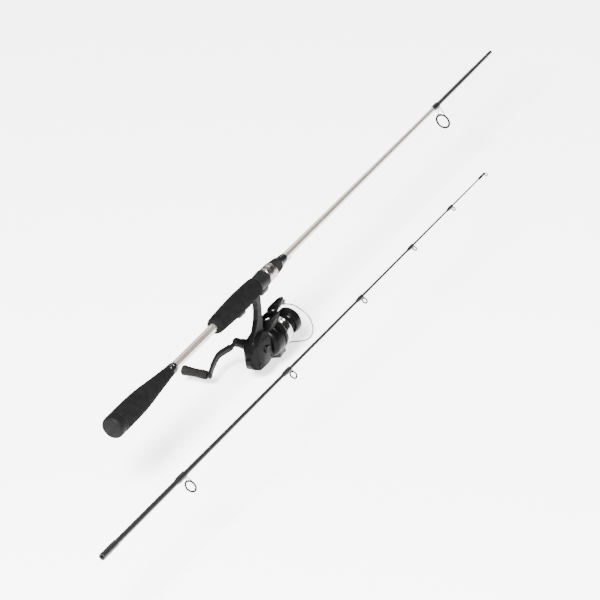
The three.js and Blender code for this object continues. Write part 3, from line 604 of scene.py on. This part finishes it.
def make_lock_nut():
    ring = turned("nut_ring", [
        [371.3, 7.5], [371.3, 10.5], [371.6, 10.9], [372.2, 11.1], [375.6, 11.1], [375.9, 10.9],
        [376.3, 10.9], [376.6, 11.05], [385.4, 10.9], [385.7, 10.7], [386.1, 10.7], [386.4, 10.85],
        [388.9, 10.75], [389.4, 10.5], [389.6, 10.2], [389.6, 7.5],
    ], 96)
    show("nut_ring", ring, satin_silver, "seat_nut", ROD, ["lock_nut_ring"])
    knurl_side = [[391.3, 9.6], [392, 9.75], [396, 9.6], [401, 9.1], [402.4, 8.9]]
    knurl = turned(
        "nut_knurl",
        [[389.9, 7.5], [389.9, 9], [390.5, 9.3], *knurl_side, [403, 8.6], [403, 7.5]],
        288,
        lambda angle, r: r - (0.45 * abs(math.sin(24 * angle)) if r > 8.8 else 0),
    )
    show("nut_knurl", knurl, knurl_black, "seat_nut", ROD, ["lock_nut"])
    nose = turned("nut_nose", [
        [403.1, 7.5], [403.1, 8.5], [403.6, 8.75], [404.6, 8.7], [405, 8.45], [407.4, 8.15],
        [408, 7.9], [408, 7.5],
    ])
    show("nut_nose", nose, black_gloss, "seat_nut", ROD, ())


def make_front_sleeve():
    sleeve = turned("sleeve_winding", [
        [409.3, 5.6], [409.3, 6.6], [409.7, 6.85], [412.8, 6.75], [413.1, 6.6], [413.5, 6.6],
        [413.8, 6.65], [418, 6.15], [420.2, 5.85], [421, 5.6], [421, 5.4],
    ])
    show("sleeve_winding", sleeve, black_gloss, "butt_section", ROD, ["front_sleeve"])
    loop = tube("keeper_loop", [
        [424, 0, -6], [427.5, 0, -6], [429.5, 0, -8], [432.5, 0, -9.4], [435.5, 0, -8], [437.5, 0, -6],
        [441, 0, -6],
    ], 0.6)
    show("keeper_loop", loop, guide_metal, "butt_section", ROD, ["hook_keeper"])


# ---------- line guides ----------
# foot: rear end of the winding; span: its length; reach: how far the ring stands ahead of it;
# drop: the ring's centre below the blank's axis; ring: its radius; wire: the frame's; blank: the rod's.
GUIDES = {
    "stripper": dict(foot=793, span=13, reach=6, drop=29, ring=10.8, wire=0.65, blank=2.98),
    "guide_1": dict(foot=177, span=21, reach=8.4, drop=23.4, ring=9.1, wire=0.6, blank=3.48),
    "guide_2": dict(foot=436, span=18, reach=4.8, drop=12.9, ring=6.1, wire=0.5, blank=2.3),
    "guide_3": dict(foot=617, span=15, reach=3, drop=9.2, ring=4.6, wire=0.42, blank=1.72),
    "guide_4": dict(foot=744, span=13, reach=2.8, drop=6.7, ring=3.6, wire=0.38, blank=1.42),
    "guide_5": dict(foot=842, span=13, reach=2.6, drop=6, ring=3.3, wire=0.36, blank=1.18),
}


def ring_lining(name, x, drop, outer, inner, half):
    side = [
        [x - half, outer], [x - half, inner + 0.3], [x - half * 0.7, inner + 0.1], [x, inner],
        [x + half * 0.7, inner + 0.1], [x + half, inner + 0.3], [x + half, outer],
    ]
    return moved(turned(name, side, 48), Matrix.Translation((0, 0, -drop)))


def make_guide(name, g, body, place):
    foot, end = g["foot"], g["foot"] + g["span"]
    blank, thick = g["blank"], g["wire"]
    rim = thick * RIM_SHARE
    winding = turned(name + "_thread", smooth_profile([
        [foot, blank + 0.1], [foot + 0.5, blank + 0.3], [foot + 2.5, blank + 0.62], [foot + 5, blank + 1.05],
        [foot + 7, blank + 1.15], [end - 2, blank + 1.15], [end - 0.6, blank + 0.95], [end, blank + 0.5],
    ], 4) + [[end, blank + 0.1]], 48)
    show(name + "_thread", winding, black_thread, body, place, [name + "_winding"])
    apex = end + 1
    foot_z = -blank - 0.28 - thick * 0.9
    x = end + g["reach"]
    middle = g["ring"] - rim
    spread = math.radians(38)  # how far each leg meets the ring from its top
    parts = [hoop("hoop", x, -g["drop"], middle, rim)]
    foot_line = [[foot + 5, 0, foot_z + 0.2], [end - 3, 0, foot_z + 0.1], [apex, 0, foot_z]]
    parts.append(tube("foot", foot_line, thick, 4, 10, 0.8))
    for side in (-1, 1):
        parts.append(tube("leg", [
            [end - 2, side * thick * 0.3, foot_z],
            [apex, side * thick * 0.6, foot_z - 0.15],
            [(apex + x) / 2, side * middle * 0.3, (foot_z - g["drop"] + middle) / 2],
            [x, side * middle * math.sin(spread), middle * math.cos(spread) - g["drop"]],
        ], thick * 0.85, 6, 10))
    show(name + "_wires", merged("wires", parts), guide_metal, body, place, [name + "_frame"])
    outer = g["ring"] - 2 * rim - 0.02
    inner = outer - 0.85 - 0.03 * g["ring"]
    lining = ring_lining(name + "_lining", x, g["drop"], outer, inner, thick)
    show(name + "_lining", lining, ring_ceramic, body, place, [name + "_ring"])


def make_tip_section():
    end = SECTION_LENGTH - 6
    taper = [
        [34, 4.0], [52, 3.85], [142, 3.6], [210, 3.3], [324, 2.8], [463, 2.15], [556, 1.9],
        [649, 1.6], [720, 1.45], [814, 1.25], [end, 0.9],
    ]
    outside = [[0.3, 4.1], [1, 4.25], [34, 4.05], *smooth_profile(taper, 4)]
    socket = [[500, 0], [52, 2.4], [48, 2.8], [0, 2.8], [0, 3.9]]
    blank = turned("tip_blank_lacquered", [*socket, *outside, [end, 0]])
    show("tip_blank_lacquered", blank, blank_black, "tip_section", TIP, ["tip_blank"])
    winding = turned("ferrule_thread", smooth_profile([
        [0.4, 4.2], [0.8, 4.5], [2, 4.68], [30, 4.7], [32, 4.5], [34, 4.1],
    ], 4), 64)
    show("ferrule_thread", winding, black_thread, "tip_section", TIP, ["ferrule_winding"])
    for name, guide in GUIDES.items():
        if name != "stripper":
            make_guide(name, guide, "tip_section", TIP)


def make_tip_top():
    blank_end = SECTION_LENGTH - 6
    start, end, middle = blank_end - 12, blank_end + 2, SECTION_LENGTH - 0.6
    ring, drop, thick = 2.9, 3.6, 0.4
    sleeve = turned("sleeve", [
        [start, 1.25], [start, 1.5], [start + 0.4, 1.6], [end - 0.6, 1.55], [end, 1.3], [end, 0],
        [blank_end + 0.3, 0], [blank_end + 0.3, 1.15],
    ], 32)
    parts = [sleeve, hoop("hoop", middle, -drop, ring - thick, thick)]
    for y, z in ((1.7, -drop + 1.8), (0, -drop + ring - thick), (-1.7, -drop + 1.8)):
        parts.append(tube("leg", [
            [end - 1.2, y * 0.4, -0.1], [(end + middle) / 2, y * 0.75, z * 0.4], [middle, y, z],
        ], thick * 0.9, 5, 10))
    wires = merged("wires", parts)
    show("tip_top_wires", wires, guide_metal, "tip_section", TIP, ["tip_top_frame"])
    outer = ring - 2 * thick - 0.02
    lining = ring_lining("tip_top_lining", middle, drop, outer, outer - 0.6, thick)
    show("tip_top_lining", lining, ring_ceramic, "tip_section", TIP, ["tip_top_ring"])


# ---------- reel housing ----------
HOUSING_SIDE = [
    [350.5, -65], [350.5, -99], [347, -103], [338, -105.5], [324, -105], [316.5, -101],
    [313, -94.5], [312.5, -86], [315, -78], [321, -71], [331, -65], [342, -61.5],
]
HOUSING_ABOVE = [
    [370, 12.4], [332, 12.4], [322, 10.8], [315.5, 7.4], [312.4, 2.5],
    [312.4, -2.5], [315.5, -7.4], [322, -11.2], [332, -13.4], [370, -13.4],
]
HOUSING_BEHIND = [[12.4, -120], [12.4, -77], [6.5, -60.5], [-6.5, -60.5], [-13.4, -77], [-13.4, -120]]
STEM_SIDE = [
    [340.6, -13], [350.6, -13], [350.6, -15.2], [354.6, -15.8], [353.4, -24], [352.6, -36],
    [350.4, -48], [350.4, -70], [318, -80], [321, -71.5], [327, -63.5], [333.5, -54],
    [339.4, -44], [342.6, -32], [343, -22], [340.6, -16],
]


def housing():
    """The gearbox's outside, from its three views."""
    block = plate("block", HOUSING_SIDE, -13.4, 12.4, 2.6, 4)
    above = slab("above", HOUSING_ABOVE, -130, -50)
    behind = beam("behind", HOUSING_BEHIND, 300, 365)
    return common(block, above, behind)


def make_reel_body():
    collar = moved(turned("collar", [[349, 0], [349, 8], [358.6, 8], [359, 7.6], [359, 0]]), REEL)
    crank_collar = turned("crank_collar", [[8, 0], [8, 8], [13.6, 7.8], [14.6, 7.2], [14.6, 0]])
    crank_collar = moved(crank_collar, CRANK_AXLE)
    stem = plate("stem", STEM_SIDE, -3.5, 3.5, 1.7, 3)
    foot = plate("foot", [
        [305, -10.2], [365, -10.2], [365, -12], [353, -12.9], [317, -12.9], [305, -12],
    ], -6.5, 6.5, 0.5)
    solid = merged("casting", [housing(), collar, crank_collar, stem, foot])
    casting = fused(solid, 0.45, 6)
    split = plate("split", [[300, -125], [370, -125], [370, -61], [300, -61]], -40, -9.4)
    bore = moved(turned("bore", [[10.5, 0], [10.5, 4.9], [15, 4.9], [15, 0]]), CRANK_AXLE)
    body = cut(casting, split, bore)
    show("reel_casting", body, reel_grey, "butt_section", ROD, ["reel_body"])


def make_side_cover():
    rest = plate("rest", [[300, -125], [370, -125], [370, -50], [300, -50]], -9.7, 40)
    cover = cut(housing(), rest)
    show("cover_moulding", cover, reel_grey, "butt_section", ROD, ["side_cover"])
    # The cover's screws. The rear one is set further in, because the cover narrows there.
    for i, (x, z) in enumerate([(341, -69.5), (345.5, -98), (322, -98)]):
        head = turned("cover_screw_%d" % i, [
            [-13.3, 0], [-13.3, 1.5], [-13.75, 1.5], [-14, 1.2], [-14, 0.7], [-13.7, 0.6], [-13.7, 0],
        ], 24)
        place = Matrix.Translation((x, 0.0 if i < 2 else 1.6, z)) @ ALONG_Y
        show("cover_screw_%d" % i, head, reel_trim, "butt_section", place, ())
    cap = turned("axle_cap_moulding", [
        [-13.5, 0], [-13.5, 5.7], [-14.2, 5.7], [-15.2, 5.3], [-15.9, 4.6], [-16, 3.6],
        [-15.6, 3.3], [-15.6, 0],
    ], 48)
    show("axle_cap_moulding", cap, reel_trim, "butt_section", CRANK_AXLE, ["axle_cap"])


def make_rear_guard():
    side = [
        [340, -108.2], [323, -107.6], [314.6, -103.2], [310.4, -95.2], [310, -87], [312.1, -87],
        [312.6, -94.7], [316.2, -101.35], [323.9, -105.4], [338, -105.9], [340, -105.6],
    ]
    above = [
        [345, 9.5], [324, 9.5], [316, 6.8], [309, 3], [309, -3], [316, -6.8], [324, -9.5], [345, -9.5],
    ]
    band = common(plate("band", side, -12, 12, 0.4, 2), slab("above", above, -125, -50))
    # Three grooves round the guard.
    for height in (-92, -96.5, -101):
        around = [[300, -20], [313.2, -20], [313.2, 20], [300, 20]]
        groove = slab("groove", around, height - 0.5, height + 0.5)
        shallow = slab("inside", above, height - 2, height + 2)
        shallow.transform(Matrix.Translation((0.7, 0, 0)))
        band = cut(band, cut(groove, shallow))
    show("guard_moulding", band, reel_trim, "butt_section", ROD, ["rear_cover"])


# ---------- rotor and bail ----------
PIVOT_X = 385  # the bail's axis, along the rod
ROLLER_X, ROLLER_Z = 419, -7  # the line roller's axis, seen along the bail's
WIRE_END = (-28.6, -3.4)  # where the wire runs into its holder: along the bail's axis, and across it


def along_pivot(mesh, x, z):
    """Lays a piece turned about X onto the bail's pivot direction, through x and z."""
    return moved(mesh, Matrix.Translation((x, 0, z)) @ ALONG_Y)


def make_rotor():
    bowl = turned("bowl", [
        [351.2, 9.4], [351.2, 16.6], [352, 18], [353.4, 19.6], [355, 20.5], [357.6, 20.95],
        [362.4, 21], [362.7, 20.7], [363.3, 20.7], [363.6, 21], [369.4, 21], [370, 20.5],
        [370, 16.8], [382.6, 16.6], [383, 16.2], [383, 15], [366, 15], [366, 3.3], [361, 3.3], [361, 9.4],
    ], 128)
    lean = turned("lean", [
        [350, 0], [350, 20.5], [356, 22.5], [362, 26], [367, 29.8], [395, 29.8], [395, 0],
    ], 128)
    room = turned("room", [[370.6, 0], [370.6, 21.6], [400, 21.6], [400, 0]], 128)
    roller_arm = plate("arm", [
        [353, -7.5], [353, 7.5], [357, 10.5], [366, 11.3], [378, 9.2], [388, 6.4], [391, 3.5],
        [391, -6], [389, -11], [384, -12], [366, -11.6], [357, -10.5],
    ], 17, 26.8, 1.5, 4)
    window = plate("window", [[367, -8.4], [380.6, -8.8], [380.6, 3.8], [367, 5.8]], 10, 40)
    holder_arm = plate("arm", [
        [353, -7.5], [353, 7.5], [357, 10], [366, 10.4], [376, 8], [385, 5.2], [389.5, 2.5],
        [389.5, -2.5], [385, -5.2], [376, -8], [366, -10.4], [357, -10],
    ], -26.8, -17, 1.5, 4)
    arms = [cut(common(cut(roller_arm, window), lean), room), cut(common(holder_arm, lean), room)]
    rotor = merged("rotor", [bowl, *arms])
    show("rotor_moulding", rotor, rotor_grey, "rotor_head", ROTOR, ["rotor"])


def screw_head(name, x, z, face, side, radius, look, body):
    """A turned screw head with a shallow round recess, on a face across the bail's pivot direction."""
    head = turned(name, [
        [face - 0.3, 0], [face - 0.3, radius], [face + 0.2, radius], [face + 0.45, radius * 0.85],
        [face + 0.5, radius * 0.4], [face + 0.15, radius * 0.36], [face + 0.15, 0],
    ], 32)
    if side < 0:
        head.transform(Matrix.Scale(-1, 4, (1, 0, 0)))
        head.flip_normals()
    show(name, along_pivot(head, x, z), look, body, ROTOR, ())


def make_bail():
    lever = plate("lever", [
        [380.6, -2], [382, -6], [386, -10.4], [393, -12.3], [405, -12.5], [405, -1.4], [396, 2.6],
        [389, 4], [384, 4.4], [381, 2.4],
    ], 27.1, 29.4, 0.8, 4)
    block = plate("block", [
        [401, -12.5], [414.6, -11.8], [419.6, -9.6], [420.4, -6], [418, -4.6], [409, -2], [401, 0.3],
    ], 24.1, 29.4, 1.5, 4)
    # Sunk panels leave a raised rim and ribs on the lever's outer face.
    raised = plate("raised", [
        [381.6, -2], [383, -5.4], [386.6, -9.4], [393.4, -11.2], [414, -10.8], [418.4, -9], [419, -6.2],
        [409, -3], [396, 1.4], [388.6, 3], [384.4, 3.4], [382, 1.6],
    ], 29, 30, 0.35, 2)
    sinks = [
        [[388.4, -7.2], [394, -9.6], [397.4, -9.8], [395.2, -1.6], [389.8, 0.4]],
        [[399, -9.9], [404.6, -9.9], [403.4, -3.6], [397, -1.8]],
        [[406.4, -9.8], [411.8, -9.6], [411, -5.4], [405.2, -4]],
    ]
    raised = cut(raised, *[plate("sink", sink, 29.2, 31) for sink in sinks])
    pin = along_pivot(turned("pin", [[19.4, 0], [19.4, 1.1], [25, 1.1], [25, 0]], 24), ROLLER_X, ROLLER_Z)
    lever = merged("lever", [lever, block, raised, pin])
    show("bail_lever", lever, rotor_grey, "bail", ROTOR, ["bail_arm"])
    screw_head("bail_screw_a", PIVOT_X, 0, 29.9, 1, 1.9, steel, "bail")
    screw_head("bail_screw_b", PIVOT_X, 0, 30.1, -1, 1.9, steel, "bail")
    screw_head("roller_screw", 415.2, -7.6, 29.9, 1, 1.6, polished, "bail")
    roller = turned("roller_groove", [
        [19.6, 1.4], [19.6, 3], [19.9, 3.25], [20.4, 3.2], [21.2, 2.65], [21.75, 2.55], [22.3, 2.65],
        [23.1, 3.2], [23.6, 3.25], [23.9, 3], [23.9, 1.4],
    ], 40)
    roller = along_pivot(roller, ROLLER_X, ROLLER_Z)
    show("roller_groove", roller, polished, "bail_roller", ROTOR, ["line_roller"])
    boss = turned("boss", [[18.1, 0], [18.1, 1.8], [18.5, 2.4], [19.3, 2.4], [19.3, 0]], 32)
    bow = tube("bow", [
        [ROLLER_X, 18.7, ROLLER_Z + 1], [419.8, 18.6, -2], [419.8, 18.8, 2], [419.2, 18.6, 7],
        [417.6, 17.2, 14], [415.7, 13.2, 23], [414.5, 7.5, 30], [413.4, -1, 33.6], [412.3, -10, 33.9],
        [410.4, -18.6, 30.6], [409, -24.4, 23.4], [408, -27, 15], [406, -27.6, 5], [403, -28, -1.4],
        [397, *WIRE_END], [389, *WIRE_END],
    ], 0.8, 8, 14)
    bow = merged("bow", [along_pivot(boss, ROLLER_X, ROLLER_Z), bow])
    show("bail_bow", bow, bail_metal, "bail", ROTOR, ["bail_wire"])
    hub = turned("hub", [[-30.2, 0], [-30.2, 3.9], [-29.7, 4.4], [-27.2, 4.4], [-27.2, 0]], 48)
    hub = along_pivot(hub, PIVOT_X, 0)
    nose = plate("nose", [
        [PIVOT_X, -4.3], [393, -5.8], [395.4, -5.2], [395.4, -1.6], [393, -0.6], [PIVOT_X, 4.3],
    ], -30.2, -27.2, 0.6)
    holder = merged("holder", [hub, nose])
    show("wire_holder", holder, rotor_grey, "bail", ROTOR, ["bail_holder"])


# ---------- spool ----------
def make_spool():
    hub = [[381, 1.8], [381, 6], [391, 6], [391, 10.6], [388.6, 17.6]]
    skirt = [
        [372.6, 18], [372.1, 18.5], [372, 19.8], [372.3, 20.6], [373, 20.9], [376.6, 20.9], [377.4, 20.6],
        [377.9, 19.6], [378, 18.9],
    ]
    well = [
        [390.1, 18.9], [390.1, 19.5], [390.6, 19.7], [391.4, 19.5], [391.8, 18.9], [392, 12.5],
        [403.4, 12.5],
    ]
    lip = [
        [404, 13], [404.4, 16.1], [405, 16.6], [409, 17.3], [412.8, 17.9], [413.9, 17.85], [414.7, 17.3],
        [415, 16.4], [415, 14], [414.6, 12.4], [413.4, 11.2],
    ]
    room = [[412.6, 10.6], [394, 10.6], [394, 1.8]]
    cup = turned("spool_cup_turned", [*hub, *skirt, *well, *lip, *room], 160)
    show("spool_cup_turned", cup, spool_black, "spool_cup", REEL, ["spool"])
    band = turned("band_turned", [
        [378.2, 19], [378.2, 20.3], [378.6, 20.5], [381.6, 20.35], [381.8, 20.15], [382.3, 20.13],
        [382.5, 20.3], [386.4, 20.1], [386.6, 19.9], [387.1, 19.88], [387.3, 20.05], [389.6, 19.9],
        [389.9, 19.7], [389.9, 19],
    ], 160)
    show("band_turned", band, polished, "spool_cup", REEL, ["spool_band"])
    knob_rear = [[412, 0], [412, 1.8], [397.9, 1.8], [397.9, 9.3], [411.8, 9.3]]
    knob_side = [[412.4, 9.8], [415.4, 9.5], [417.2, 8.8], [418.2, 7.6]]
    knob = turned(
        "drag_knob_moulding",
        [*knob_rear, *knob_side, [418.4, 6], [417.2, 5], [417.2, 0]],
        120,
        lambda angle, r: r - (0.7 * max(0, math.sin(10 * angle)) ** 2 if r > 8.5 else 0),
    )
    show("drag_knob_moulding", knob, reel_trim, "drag_cap", REEL, ["drag_knob"])


# ---------- crank ----------
FOLD_Y = 31  # how far out the fold's axis crosses the crank's
KNOB_X = 53  # the knob's axis from the crank's


def make_crank():
    boss = moved(turned("boss", [
        [17.8, 0], [17.8, 2.7], [15, 2.7], [15, 6.9], [15.5, 7.2], [17, 7.2], [17.4, 6.9], [18.2, 6.9],
        [18.6, 7], [24, 6.2], [26.6, 5.8], [28, 5.2], [28, 0],
    ]), ALONG_Y)
    fork = slab("fork", [
        [-4.6, 26.5], [4.6, 26.5], [4.7, FOLD_Y], [4, 33.4], [2.4, 35], [0, 35.5], [-2.4, 35], [-4, 33.4],
        [-4.7, FOLD_Y],
    ], -4.8, 4.8, None, 0.7)
    slot = slab("slot", [[-8, 28.3], [8, 28.3], [8, 40], [-8, 40]], -2.1, 2.1)
    fork = cut(fork, slot)
    show("crank_yoke", merged("yoke", [boss, fork]), crank_grey, "crank", CRANK, ["crank_boss"])
    screw = turned("fold_screw", [
        [-5.7, 0], [-5.7, 1.4], [-5.3, 2.1], [-4.7, 2.1], [-4.7, 1.3], [4.7, 1.3], [4.7, 2.1], [5.3, 2.1],
        [5.7, 1.5], [5.7, 0.7], [5.3, 0.6], [5.3, 0],
    ], 32)
    place = CRANK @ Matrix.Translation((0, FOLD_Y, 0)) @ ALONG_Z
    show("fold_screw", screw, crank_grey, "crank", place, ())
    lower = [[6.6, 33.2], [11.5, 34.8], [17, 39.7], [23.6, 44.8], [30, 46.3], [44, 46], [KNOB_X, 44.4]]
    upper = [[KNOB_X, 48.6], [46, 49.2], [40, 50.1], [29, 50.5], [19.6, 48.9], [11.6, 42.6], [6.6, 38.4]]
    low_line = catmull([Vector((x, y, 0)) for x, y in lower], 4)
    high_line = catmull([Vector((x, y, 0)) for x, y in upper], 4)
    end = [Vector((56, 45.2, 0)), Vector((56.4, 46.4, 0)), Vector((56, 47.6, 0))]
    outline = [(p.x, p.y) for p in [*low_line, *end, *high_line]]
    arm = slab("arm", outline, -3.4, 3.4, None, 0.9, 3)
    eye = slab("eye", [
        [-2.5, FOLD_Y - 0.8], [-1.2, FOLD_Y - 2.2], [1.6, FOLD_Y - 2.3], [9, 34.6], [9, 39.4], [4, 36.4],
        [-0.6, FOLD_Y + 3], [-2.4, FOLD_Y + 1.2],
    ], -1.8, 1.8)
    fold_axis = Matrix.Translation((0, FOLD_Y, 0)) @ ALONG_Z
    hole = moved(turned("hole", [[-8, 0], [-8, 1.6], [8, 1.6], [8, 0]], 24), fold_axis)
    joint = moved(turned("joint", [
        [43.8, 0], [43.8, 2.6], [44.2, 3.4], [48.4, 3.5], [48.9, 3.1], [49, 1.7], [82, 1.7], [82, 0],
    ], 32), Matrix.Translation((KNOB_X, 0, 0)) @ ALONG_Y)
    arm_mesh = merged("arm", [arm, cut(eye, hole), joint])
    show("crank_lever_forged", arm_mesh, crank_grey, "crank_lever", CRANK, ["crank_arm"])
    knob_side = smooth_profile([
        [52, 5.95], [58, 5.8], [66, 5.35], [74, 5.7], [80, 6.3], [83.2, 6.75],
    ])
    knob = turned("knob_moulding", [
        [83, 0], [83, 1.9], [49.5, 1.9], [49.5, 4.7], [49.9, 5.2], [51, 5.6], [51.4, 5.3], *knob_side,
        [84.6, 6.7], [85.6, 6.1], [86, 5.2], [86, 3.6], [85.6, 3.4], [85.6, 0],
    ], 80)
    place = CRANK @ Matrix.Translation((KNOB_X, 0, 0)) @ ALONG_Y
    show("knob_moulding", knob, knob_rubber, "crank_handle", place, ["crank_knob"])
    rings = []
    for y, r in ((56, 5.9), (60, 5.72), (64, 5.5), (68, 5.45), (72, 5.62), (76, 5.95)):
        rings.append(turned("rib", [
            [y - 1, r - 0.3], [y - 0.8, r + 0.15], [y + 0.8, r + 0.15], [y + 1, r - 0.3],
        ], 64, lambda angle, radius: radius - (0.35 if abs(math.sin(2 * angle)) < 0.45 else 0)))
    show("knob_ribs", merged("ribs", rings), knob_rubber, "crank_handle", place, ())


make_handle()
make_butt_blank()
make_fore_grip()
make_reel_seat()
make_sliding_hood()
make_lock_nut()
make_front_sleeve()
make_guide("stripper", GUIDES["stripper"], "butt_section", ROD)
make_tip_section()
make_tip_top()
make_reel_body()
make_side_cover()
make_rear_guard()
make_rotor()
make_bail()
make_spool()
make_crank()


# ---------- stage, light and camera ----------
def make_floor():
    bm = bmesh.new()
    corners = [bm.verts.new((x, y, FLOOR_Z)) for x, y in ((-8, -8), (9, -8), (9, 9), (-8, 9))]
    bm.faces.new(corners)
    mesh = bpy.data.meshes.new("floor")
    bm.to_mesh(mesh)
    bm.free()
    mesh.materials.append(floor_white)
    floor = bpy.data.objects.new("floor", mesh)
    bpy.context.scene.collection.objects.link(floor)


def make_light(name, towards, distance, size, power):
    """A square lamp that shines at the object's middle, in the direction towards."""
    lamp = bpy.data.lights.new(name, "AREA")
    lamp.size = size
    lamp.energy = power
    obj = bpy.data.objects.new(name, lamp)
    ray = Vector(towards).normalized()
    obj.location = OBJECT_MIDDLE - ray * distance
    obj.rotation_mode = "QUATERNION"
    obj.rotation_quaternion = ray.to_track_quat("-Z", "Y")
    bpy.context.scene.collection.objects.link(obj)


def make_world():
    """Dim light up to the horizon, a dark band above it and a bright ceiling, for gloss to reflect."""
    world = bpy.data.worlds.new("studio")
    world.use_nodes = True
    tree = world.node_tree
    where = tree.nodes.new("ShaderNodeTexCoord")
    split = tree.nodes.new("ShaderNodeSeparateXYZ")
    ramp = tree.nodes.new("ShaderNodeValToRGB")
    stops = [(0.0, 0.55), (0.5, 0.4), (0.66, 0.14), (0.82, 0.14), (0.92, 1.0), (1.0, 1.0)]
    elements = ramp.color_ramp.elements
    while len(elements) < len(stops):
        elements.new(0.5)
    for element, (position, level) in zip(elements, stops):
        element.position = position
        element.color = (level, level, level * 1.005, 1)
    lift = tree.nodes.new("ShaderNodeMath")
    lift.operation = "MULTIPLY_ADD"
    lift.inputs[1].default_value = 0.5
    lift.inputs[2].default_value = 0.5
    tree.links.new(where.outputs["Generated"], split.inputs["Vector"])
    tree.links.new(split.outputs["Z"], lift.inputs[0])
    tree.links.new(lift.outputs["Value"], ramp.inputs["Fac"])
    back = tree.nodes["Background"]
    tree.links.new(ramp.outputs["Color"], back.inputs["Color"])
    back.inputs["Strength"].default_value = 0.45
    bpy.context.scene.world = world


def make_camera():
    """A long lens some 22 m away, so that the view is nearly parallel."""
    data = bpy.data.cameras.new("camera")
    data.lens = 1061.2
    data.sensor_width = 36
    data.clip_start = 1
    data.clip_end = 200
    cam = bpy.data.objects.new("camera", data)
    cam.location = (-15.065635, -10.866316, 11.657679)
    right = Vector((0.507922, -0.853105, -0.118693))
    down = Vector((-0.50732, -0.184617, -0.841369))
    ahead = Vector((0.695856, 0.487765, -0.526723))
    cam.rotation_mode = "QUATERNION"
    cam.rotation_quaternion = Matrix((right, -down, -ahead)).transposed().to_quaternion()
    bpy.context.scene.collection.objects.link(cam)
    bpy.context.scene.camera = cam


make_floor()
make_light("key", (0.66, 0.17, -0.73), 4.5, 1.25, 1550)
make_light("fill", (0.2, 0.9, -0.45), 3.5, 2.2, 30)
make_light("rim", (-0.75, -0.35, -0.5), 3.5, 1.4, 30)
make_world()
make_camera()
